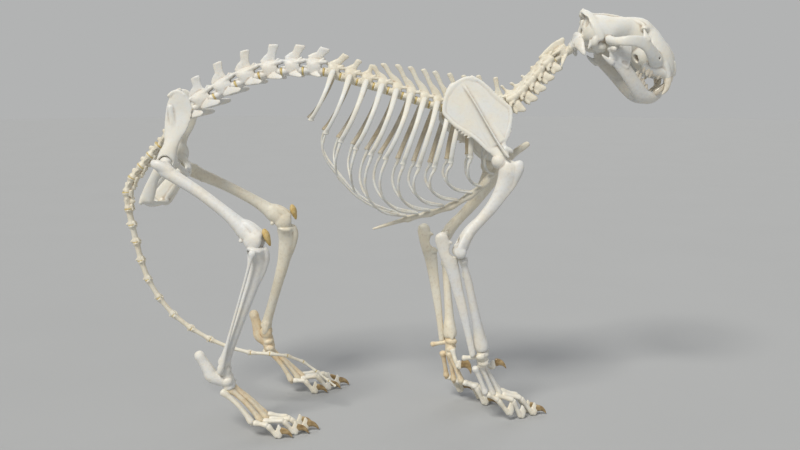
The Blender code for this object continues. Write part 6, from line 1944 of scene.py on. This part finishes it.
@dataclass
class HindLimb:
    """Thigh, shin, heel and paw of one side, joints in metres, and the knee cap's top and point."""

    side: Side
    hip: Vector
    knee: Vector
    ankle: Vector
    heel: Vector
    foot_root: Vector
    toes: Sequence[Toe]
    cap: tuple[Vector, Vector]

    def thigh(self) -> Clay:
        """The thigh bone."""
        clay, length = limb_clay(self.hip, self.knee, self.side)
        clay.knob((0, 0, -2), (12.5, 12.5, 12.5))
        clay.bar([(0, 0, -2, 8.0, 8.0), (8, -1, 10, 8.4, 8.6), (14, -2, 18, 10.5, 9.5),
                  (20, -2, 23, 12, 9)], steps=5)
        clay.bar([(6, -6, 23, 12, 9), (20, -6, 23, 13.5, 10.5), (45, -4, 20, 12.3, 11.2),
                  (100, 1, 13, 10.8, 10.8), (160, 2, 7, 11.4, 11.4), (190, 0, 3, 14, 15),
                  (208, -2, 0, 17.5, 18), (length - 14, -4, 0, 17, 18)], steps=6, sides=28)
        clay.bar([(-8, -8, 30, 6, 6), (0, -7, 31, 9.5, 7.5), (10, -4, 29, 10.5, 8.5),
                  (30, -1, 24, 9.5, 8.5)], steps=5)
        clay.bar([(18, -14, 24, 3.0, 3.0), (34, -14, 18, 3.0, 3.2), (46, -12, 10, 4.0, 4.2)])
        # The groove for the knee cap lies between two lips; two rollers stand behind it.
        for out in (-9, 9):
            clay.bar([(196, 7, out * 0.6, 7, 7), (208, 10, out * 0.8, 8, 7.4),
                      (222, 10.5, out * 0.95, 8.5, 7.4), (length - 4, 7, out * 1.05, 10, 7)], steps=5)
            clay.knob((length - 9, -5, out * 1.25), (17.6, 18.6, 8.8))
            clay.knob((length - 27, -21, out * 1.2), (4.4, 4.0, 3.8))
        clay.knob((length + 5, -15, 0), (12, 11, 3.8), scoop=True)
        clay.knob((8, -15, 17), (9, 6, 7), scoop=True)
        clay.knob((length - 9, -5, 22.5), (5.0, 5.0, 3.0), scoop=True)
        return clay

    def knee_cap(self) -> Clay:
        """The knee cap: a drop with its point below."""
        top, low = self.cap
        return tapered(Clay(WORLD), [top.lerp(low, share) for share in (0.05, 0.22, 0.45, 0.72, 0.9, 1)],
                       (4.2, 8.0, 8.6, 6.0, 3.6, 1.8), flat=0.76)

    def shin(self) -> Clay:
        """The shin bone, with the sharp crest below the knee."""
        clay, length = limb_clay(self.knee, self.ankle, self.side)
        for out in (-12, 12):
            clay.knob((17, -3, out), (5.5, 16, 12))
        clay.bar([(14, -2, 0, 17.5, 21), (20, -1, 0, 18.5, 21.5), (28, 1, 0, 17.5, 18),
                  (45, 6, -1, 17, 12.5), (75, 8, -1, 14.6, 10.8), (110, 8, 0, 12, 9.8),
                  (170, 4, 0, 10, 9.4), (length - 30, 0, 0, 10, 11), (length - 14, -1, 0, 12, 14),
                  (length - 8, -1, 0, 12, 14.4)], steps=6, sides=28, dome=0.2)
        clay.bar([(14, 11, 0, 9, 10), (22, 15, 0, 10.5, 9.0), (34, 18, -1, 10.5, 7.6), (60, 18, -1, 9, 6.0),
                  (95, 13, 0, 7, 6.0)], steps=5)
        clay.bar([(11, -2, 0, 6, 3.0), (7, -2, 0, 3.6, 2.2)], SIDEWAYS)
        clay.bar([(length - 20, 0, -11, 7, 4.4), (length - 4, 0, -14, 6.5, 3.6),
                  (length + 5, 0, -14.5, 3.6, 2.4)])
        clay.knob((30, -12, 8), (24, 6, 9), scoop=True)
        return clay

    def splint(self) -> Clay:
        """The thin outer bone of the lower limb."""
        clay, length = limb_clay(self.knee, self.ankle, self.side)
        return clay.bar([(19, -5, 22, 6, 3.6), (24, -5, 22.5, 6.8, 4.2), (34, -5, 22.5, 3.8, 2.8),
                (70, -4, 21, 2.7, 2.4), (135, -4, 18.5, 2.5, 2.2), (200, -4, 17, 3.0, 2.4),
                (length - 16, -3, 18, 5.0, 3.4), (length - 4, -3, 18, 6.0, 4.2),
                (length + 6, -3, 17, 4.6, 3.8)], steps=6)

    def heel_bones(self) -> Clay:
        """The heel bone, the ankle bone's pulley and the small bones in front of them."""
        side = self.side.value
        clay, length = limb_clay(self.ankle, self.foot_root, self.side)
        for out in (-9, 6):
            clay.knob((3, 1, out), (14.5, 12.5, 6.8))
        clay.knob((8, 1, -2), (13, 11, 9))
        front = self.foot_root + (self.ankle - self.foot_root) * 0.35
        under = self.heel.lerp(front, 0.6) + Vector((-0.006, side * 0.003, -0.012))
        heel = Clay(WORLD)
        tapered(heel, [self.heel, self.heel.lerp(under, 0.1), self.heel.lerp(under, 0.35),
                self.heel.lerp(under, 0.7), under, front + Vector((0, side * 0.003, 0))],
                (8.6, 10.0, 9.6, 11.5, 13.0, 11.0))
        knob = self.heel + (self.heel - under).normalized() * 0.001
        for step in (-1, 1):
            tapered(heel, [knob + Vector((0.002 * step, side * 0.004 * step, 0)),
                           self.heel.lerp(under, 0.12) + Vector((0, side * 0.004 * step, 0))], (4.4, 5.4))
        clay.lumps += heel.lumps
        clay.bar([(length * 0.3, 0, 0, 12.5, 12), (length * 0.7, 0, 0, 12.5, 13),
                  (length - 2, 0, 0, 11, 13)], dome=0.2)
        clay.knob((length * 0.52, 2, -7), (6.5, 10.5, 9)).knob((length * 0.6, 1, 9), (9, 10, 7.5))
        for out, size in ((-13, 4.8), (-5, 5.4), (4, 5.8)):
            clay.knob((length * 0.82, 3, out), (6.0, 9.5, size))
        return clay

    def build(self, museum: Museum) -> list[Place]:
        """Builds the whole limb.

        Args:
            museum: where the pieces go.

        Returns:
            The places of its claw sheaths.
        """
        look, word = museum.finishes, self.side.word
        far = self.side is Side.LEFT
        # The far limb takes darker, warmer copies of the bone finish: painted shade.
        limb_finish_far_shaded = look.warm_bone if far else look.bone
        museum.show(museum.cast("thigh_bone_" + word, self.thigh(), limb_finish_far_shaded, voxel=1.44, smoothing=4),
                    "femur_" + word)
        museum.show(museum.cast("knee_cap_" + word, self.knee_cap(), look.knee_cap, voxel=1.08, grain=0.6),
                    "patella_" + word)
        museum.show(museum.cast("shin_bone_" + word, self.shin(), limb_finish_far_shaded, voxel=1.44, smoothing=4),
                    "tibia_" + word)
        museum.show(museum.cast("splint_bone_" + word, self.splint(), look.bone, voxel=0.96),
                    "fibula_" + word)
        # Painted shade: the far heel takes the darker tan foot finish.
        museum.show(museum.cast("heel_bones_" + word, self.heel_bones(), look.foot_bone if far
                else look.bone, voxel=1.08, smoothing=3, grain=0.6), "tarsus_" + word)
        foot = Foot(self.foot_root, self.toes, self.side, long_radius=6.0, bow=4)
        outer, *inner = foot.long_bones()
        museum.show(museum.cast("sole_bones_" + word, inner, look.foot_bone, voxel=0.96, smoothing=3),
                    "metatarsus_" + word)
        museum.show(museum.cast("outer_sole_bone_" + word, outer, look.toe_bone, voxel=0.96, smoothing=3))
        names = ["hind_digit_%d_%s" % (5 - i, word) for i in range(4)]
        museum.show(museum.cast("hind_toes_" + word, [toe.bones() for toe in self.toes], look.toe_bone,
                voxel=0.84, smoothing=3, grain=0.3), *names, slot="toe_bone")
        return [toe.claw() for toe in self.toes if toe.sheath]


@dataclass
class HipBones:
    """Both hip bones, joined under the tail, in millimetres of the world.

    Fields:
        far_shift: how much further forward the left wing stands.
        wing_foot: the height above which it does.
    """

    far_shift: float = -7.0
    wing_foot: float = 550.0

    def bones(self) -> Clay:
        """Both halves: the wing, the socket, the two rods round the hole, and their seam."""
        clay = Clay(WORLD)
        for side in (-1, 1):
            shift = self.far_shift if side > 0 else 0
            wing = [(-431, 40, 667, 7, 2.4), (-430, 40, 662, 14, 2.6), (-428, 41, 650, 22.5, 2.2),
                    (-429, 42, 628, 26.5, 2.0), (-434, 45, 604, 23.5, 2.6), (-441, 48, 581, 16.5, 4.6),
                    (-446, 50, 562, 14.5, 7.5), (-452, 50, 545, 18, 10.5), (-456, 50, 532, 18, 10.5),
                    (-466, 50, 520, 13, 8.0), (-480, 48, 502, 9.5, 5.6), (-491, 44, 478, 12.0, 5.6),
                    (-500, 40, 456, 14, 6.4)]
            rows = [(x + (shift if z > self.wing_foot else 0), side * y, z, wide, thick)
                    for x, y, z, wide, thick in wing]
            clay.bar(rows, (1, 0, 0.25), sides=36, steps=6)
            rim = [(x - wide * 0.94, y - 0.5, z - wide * 0.23, 1.6, 2.6) for x, y, z, wide, _ in wing[1:6]]
            clay.bar([(x + shift, side * y, *rest) for x, y, *rest in rim], ALONG,
                     sides=12)
            clay.bar([(x + shift, side * y, z, wide, thick) for x, y, z, wide,
                      thick in ((-449, 41, 659, 3.2, 2.8), (-440, 40, 667, 3.4, 3.0),
                    (-428, 40, 669, 3.2, 2.8), (-415, 41, 661, 3.0, 2.6))], HIGH, sides=12)
            shape = [(-452, 46, 541, 9, 7.5), (-436, 34, 524, 7.5, 5), (-429, 17, 512, 7.5, 4.0),
                     (-431, 1.5, 506, 12, 4.6)]
            clay.bar([(x, side * y, z, wide, thick) for x, y, z, wide, thick in shape], (1, 0, -0.6))
            shape = [(-503, 40, 457, 10, 6.2), (-494, 25, 447, 10, 4.0), (-482, 9, 446, 12.5, 4.0),
                     (-472, 1, 452, 14, 4.5)]
            clay.bar([(x, side * y, z, wide, thick) for x, y, z, wide, thick in shape], (1, 0, 0.4))
            clay.bar([(-507, side * 43, 462, 5, 4.5), (-511, side * 44, 450, 4.2, 3.8)], ALONG)
            # The socket's rim stands out round the thigh bone's head.
            clay.knob((-457, side * 56, 533), (17, 6, 17))
            hip = Vector((-456, -54, 532)) if side < 0 else Vector((-444, 54, 515))
            clay.knob((hip.x, hip.y + side * 3, hip.z), (14.2, 14.2, 14.2), scoop=True)
            clay.bar([(-446 + shift, side * 44.5, 640, 4, 1.6),
                      (-440 + shift, side * 47.2, 600, 3, 1.4)], ALONG)
        clay.bar([(-423, 0, 515, 6, 4.2), (-450, 0, 480, 10, 6.5), (-476, 0, 447, 9, 4.4)], SIDEWAYS)
        # The seam's broad plate.
        clay.bar([(-436, 0, 512, 10, 5), (-456, 0, 486, 17, 5.5), (-476, 0, 460, 20, 6),
                  (-484, 0, 450, 17, 5)], (0.81, 0, -0.58))
        return clay

    def build(self, museum: Museum) -> None:
        """Builds the hip bones."""
        museum.show(museum.cast("hip_bones", self.bones(), museum.finishes.blade_bone, voxel=1.44,
                smoothing=4, grain=0.5, grain_mm=7.0), "pelvis")


# The studio


@dataclass
class Studio:
    """Pale floor, soft lights and the camera of the photograph, in metres.

    Fields:
        eye: where the camera stands, before the solids were centred.
        lens_mm: its lens.
        fall: how far it looks down, in radians.
        floor_reach: the floor's radius.
        air: how bright the sky's light is.
        far_tone: what the camera sees above the floor's edge.
        sensor_mm: the width of the camera's picture.
        sight: how far it sees.
    """

    eye: Triple = (0.0, -1.8, 0.70)
    lens_mm: float = 40.5
    fall: float = math.atan(150 / 900)
    floor_reach: float = 14.0
    air: float = 0.32
    far_tone: str = "#B2B3B3"
    sensor_mm: float = 36.0
    sight: float = 60.0

    def camera(self) -> None:
        """Sets the camera at the photograph's viewing angle."""
        data = bpy.data.cameras.new("camera")
        data.lens, data.sensor_width = self.lens_mm, self.sensor_mm
        data.clip_end = self.sight
        camera = bpy.data.objects.new("camera", data)
        bpy.context.scene.collection.objects.link(camera)
        camera.location = Vector(self.eye) - CENTRING
        camera.rotation_euler = (math.pi / 2 - self.fall, 0, 0)
        bpy.context.scene.camera = camera

    def floor(self) -> None:
        """Lays the pale floor."""
        grid = bmesh.new()
        bmesh.ops.create_circle(grid, cap_ends=True, radius=self.floor_reach, segments=96)
        mesh = bpy.data.meshes.new("studio_floor")
        grid.to_mesh(mesh)
        grid.free()
        mesh.materials.append(StudioFloor().material())
        floor = bpy.data.objects.new("studio_floor", mesh)
        bpy.context.scene.collection.objects.link(floor)

    def lamp(self, name: str, place: Triple, softness: float, strength: float, tint: str) -> None:
        """Adds a far, broad light that shines on the middle.

        Args:
            name: the light's name.
            place: the direction that it comes from.
            softness: how wide it looks from the middle, in degrees.
            strength: in watts on each square metre.
            tint: its colour.
        """
        data = bpy.data.lights.new(name, "SUN")
        data.angle, data.energy = math.radians(softness), strength
        data.color = linear(tint)[:3]
        lamp = bpy.data.objects.new(name, data)
        bpy.context.scene.collection.objects.link(lamp)
        lamp.location = place
        lamp.rotation_euler = (-Vector(place)).to_track_quat("-Z", "Y").to_euler()

    def build(self) -> None:
        """Builds floor, lights, sky and camera."""
        self.floor()
        self.lamp("key_light", (-1.2, -2.0, 2.8), 18, 2.55, "#FFFBF2")
        self.lamp("fill_light", (2.6, -2.2, 1.3), 60, 0.3, "#F2F6FF")
        self.lamp("rim_light", (0.6, 2.6, 2.2), 40, 0.5, "#FFFFFF")
        world = bpy.data.worlds.new("studio_air")
        world.use_nodes = True
        tree = world.node_tree
        light = tree.nodes["Background"]
        light.inputs["Color"].default_value = linear("#F1F3F6")
        light.inputs["Strength"].default_value = self.air
        # The camera sees the board's own far tone above the board's edge, so that no horizon shows.
        backdrop = add(tree, "ShaderNodeBackground", Color=linear(self.far_tone), Strength=1.0)
        seen = add(tree, "ShaderNodeLightPath").outputs["Is Camera Ray"]
        mixed = add(tree, "ShaderNodeMixShader", i0=seen, i1=light.outputs[0], i2=backdrop.outputs[0])
        tree.links.new(mixed.outputs[0], tree.nodes["World Output"].inputs["Surface"])
        bpy.context.scene.world = world
        bpy.context.scene.view_settings.view_transform = "Standard"
        self.camera()


def toes(rows: Sequence[tuple[Triple, Triple, Triple]], bare: Sequence[int] = ()) -> list[Toe]:
    """Toes from the outermost inwards, the numbered ones without their claws' horn."""
    return [Toe(*row, sheath=i not in bare) for i, row in enumerate(rows)]


def limbs() -> list[ForeLimb | HindLimb]:
    """The four limbs in the photograph's stance."""
    return [ForeLimb(Side.RIGHT, shoulder=Vector((0.197, -0.071, 0.541)),
            blade_top=Vector((0.124, -0.043, 0.692)), elbow=Vector((0.114, -0.086, 0.360)),
            wrist=Vector((0.165, -0.060, 0.156)), paw_root=Vector((0.164, -0.050, 0.122)),
            radius_head=Vector((0.122, -0.088, 0.349)), ulna_top=Vector((0.076, -0.078, 0.392)),
            ulna_foot=Vector((0.144, -0.072, 0.147)), wrist_spur=Vector((0.127, -0.066, 0.141)),
            toes=toes([((0.173, -0.056, 0.064), (0.199, -0.052, 0.048), (0.222, -0.046, 0.011)),
            ((0.190, -0.044, 0.057), (0.231, -0.039, 0.043), (0.248, -0.033, 0.0)),
            ((0.205, -0.032, 0.054), (0.249, -0.024, 0.042), (0.275, -0.017, 0.0)),
            ((0.203, -0.019, 0.058), (0.243, -0.009, 0.043), (0.264, -0.002, 0.0))], bare=(0, 1)),
            dewclaw=((0.168, -0.036, 0.130), (0.178, -0.031, 0.116), (0.187, -0.029, 0.110),
            (0.195, -0.028, 0.118), (0.204, -0.028, 0.118), (0.210, -0.028, 0.105))),
            ForeLimb(Side.LEFT, shoulder=Vector((0.189, 0.069, 0.518)),
            blade_top=Vector((0.128, 0.043, 0.666)), elbow=Vector((0.090, 0.084, 0.352)),
            wrist=Vector((0.108, 0.064, 0.146)), paw_root=Vector((0.105, 0.062, 0.112)),
            radius_head=Vector((0.093, 0.085, 0.340)), ulna_top=Vector((0.046, 0.080, 0.384)),
            ulna_foot=Vector((0.089, 0.072, 0.136)), wrist_spur=Vector((0.069, 0.070, 0.128)),
            toes=toes([((0.101, 0.079, 0.054), (0.117, 0.084, 0.043), (0.130, 0.088, 0.012)),
            ((0.117, 0.069, 0.048), (0.155, 0.073, 0.038), (0.172, 0.075, 0.0)),
            ((0.133, 0.057, 0.049), (0.168, 0.058, 0.040), (0.190, 0.058, 0.0)),
            ((0.131, 0.044, 0.053), (0.163, 0.043, 0.041), (0.180, 0.042, 0.0))]),
            dewclaw=((0.112, 0.045, 0.122), (0.117, 0.038, 0.104), (0.123, 0.034, 0.090),
            (0.130, 0.032, 0.098), (0.141, 0.031, 0.095), (0.146, 0.031, 0.082)), bow=0.6,
            thumb_claw=(1.15, 1.5, 1.75)), HindLimb(Side.RIGHT, hip=Vector((-0.456, -0.054, 0.532)),
            knee=Vector((-0.267, -0.116, 0.388)), ankle=Vector((-0.343, -0.122, 0.139)),
            heel=Vector((-0.390, -0.124, 0.168)), foot_root=Vector((-0.331, -0.119, 0.097)),
            cap=(Vector((-0.259, -0.116, 0.412)), Vector((-0.247, -0.116, 0.379))),
            toes=toes([((-0.289, -0.135, 0.033), (-0.258, -0.138, 0.028), (-0.240, -0.137, 0.0)),
            ((-0.273, -0.122, 0.030), (-0.229, -0.121, 0.031), (-0.210, -0.119, 0.0)),
            ((-0.263, -0.108, 0.029), (-0.218, -0.104, 0.028), (-0.192, -0.100, 0.0)),
            ((-0.268, -0.095, 0.035), (-0.226, -0.088, 0.026), (-0.205, -0.082, 0.0))])),
            HindLimb(Side.LEFT, hip=Vector((-0.444, 0.054, 0.515)), knee=Vector((-0.238, 0.090, 0.396)),
            ankle=Vector((-0.296, 0.120, 0.146)), heel=Vector((-0.323, 0.124, 0.184)),
            foot_root=Vector((-0.288, 0.122, 0.098)), cap=(Vector((-0.230, 0.091, 0.429)),
            Vector((-0.221, 0.091, 0.397))),
            toes=toes([((-0.228, 0.154, 0.030), (-0.190, 0.168, 0.034), (-0.168, 0.176, 0.0)),
            ((-0.217, 0.142, 0.029), (-0.171, 0.152, 0.035), (-0.146, 0.158, 0.0)),
            ((-0.226, 0.129, 0.029), (-0.186, 0.134, 0.035), (-0.164, 0.136, 0.0)),
            ((-0.241, 0.114, 0.031), (-0.211, 0.114, 0.031), (-0.192, 0.113, 0.0))])),]


def main() -> None:
    """Builds the studio and the whole skeleton."""
    logging.basicConfig(level=logging.INFO, format="%(name)s: %(message)s")
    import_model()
    Studio().build()
    museum = Museum(Finishes.build())
    skull = Skull()
    skull.build(museum)
    Jaw(skull).build(museum)
    spine = Spine()
    spine.build(museum)
    RibCage(spine).build(museum)
    HipBones().build(museum)
    Tail().build(museum)
    claws = []
    for limb in limbs():
        claws += limb.build(museum)
    museum.show(museum.scattered("claw_sheaths", claw_shape(), claws, museum.finishes.horn),
                slot="toe_bone")
    LOG.info("%d triangles in all", museum.triangles)


if __name__ == "__main__":
    main()
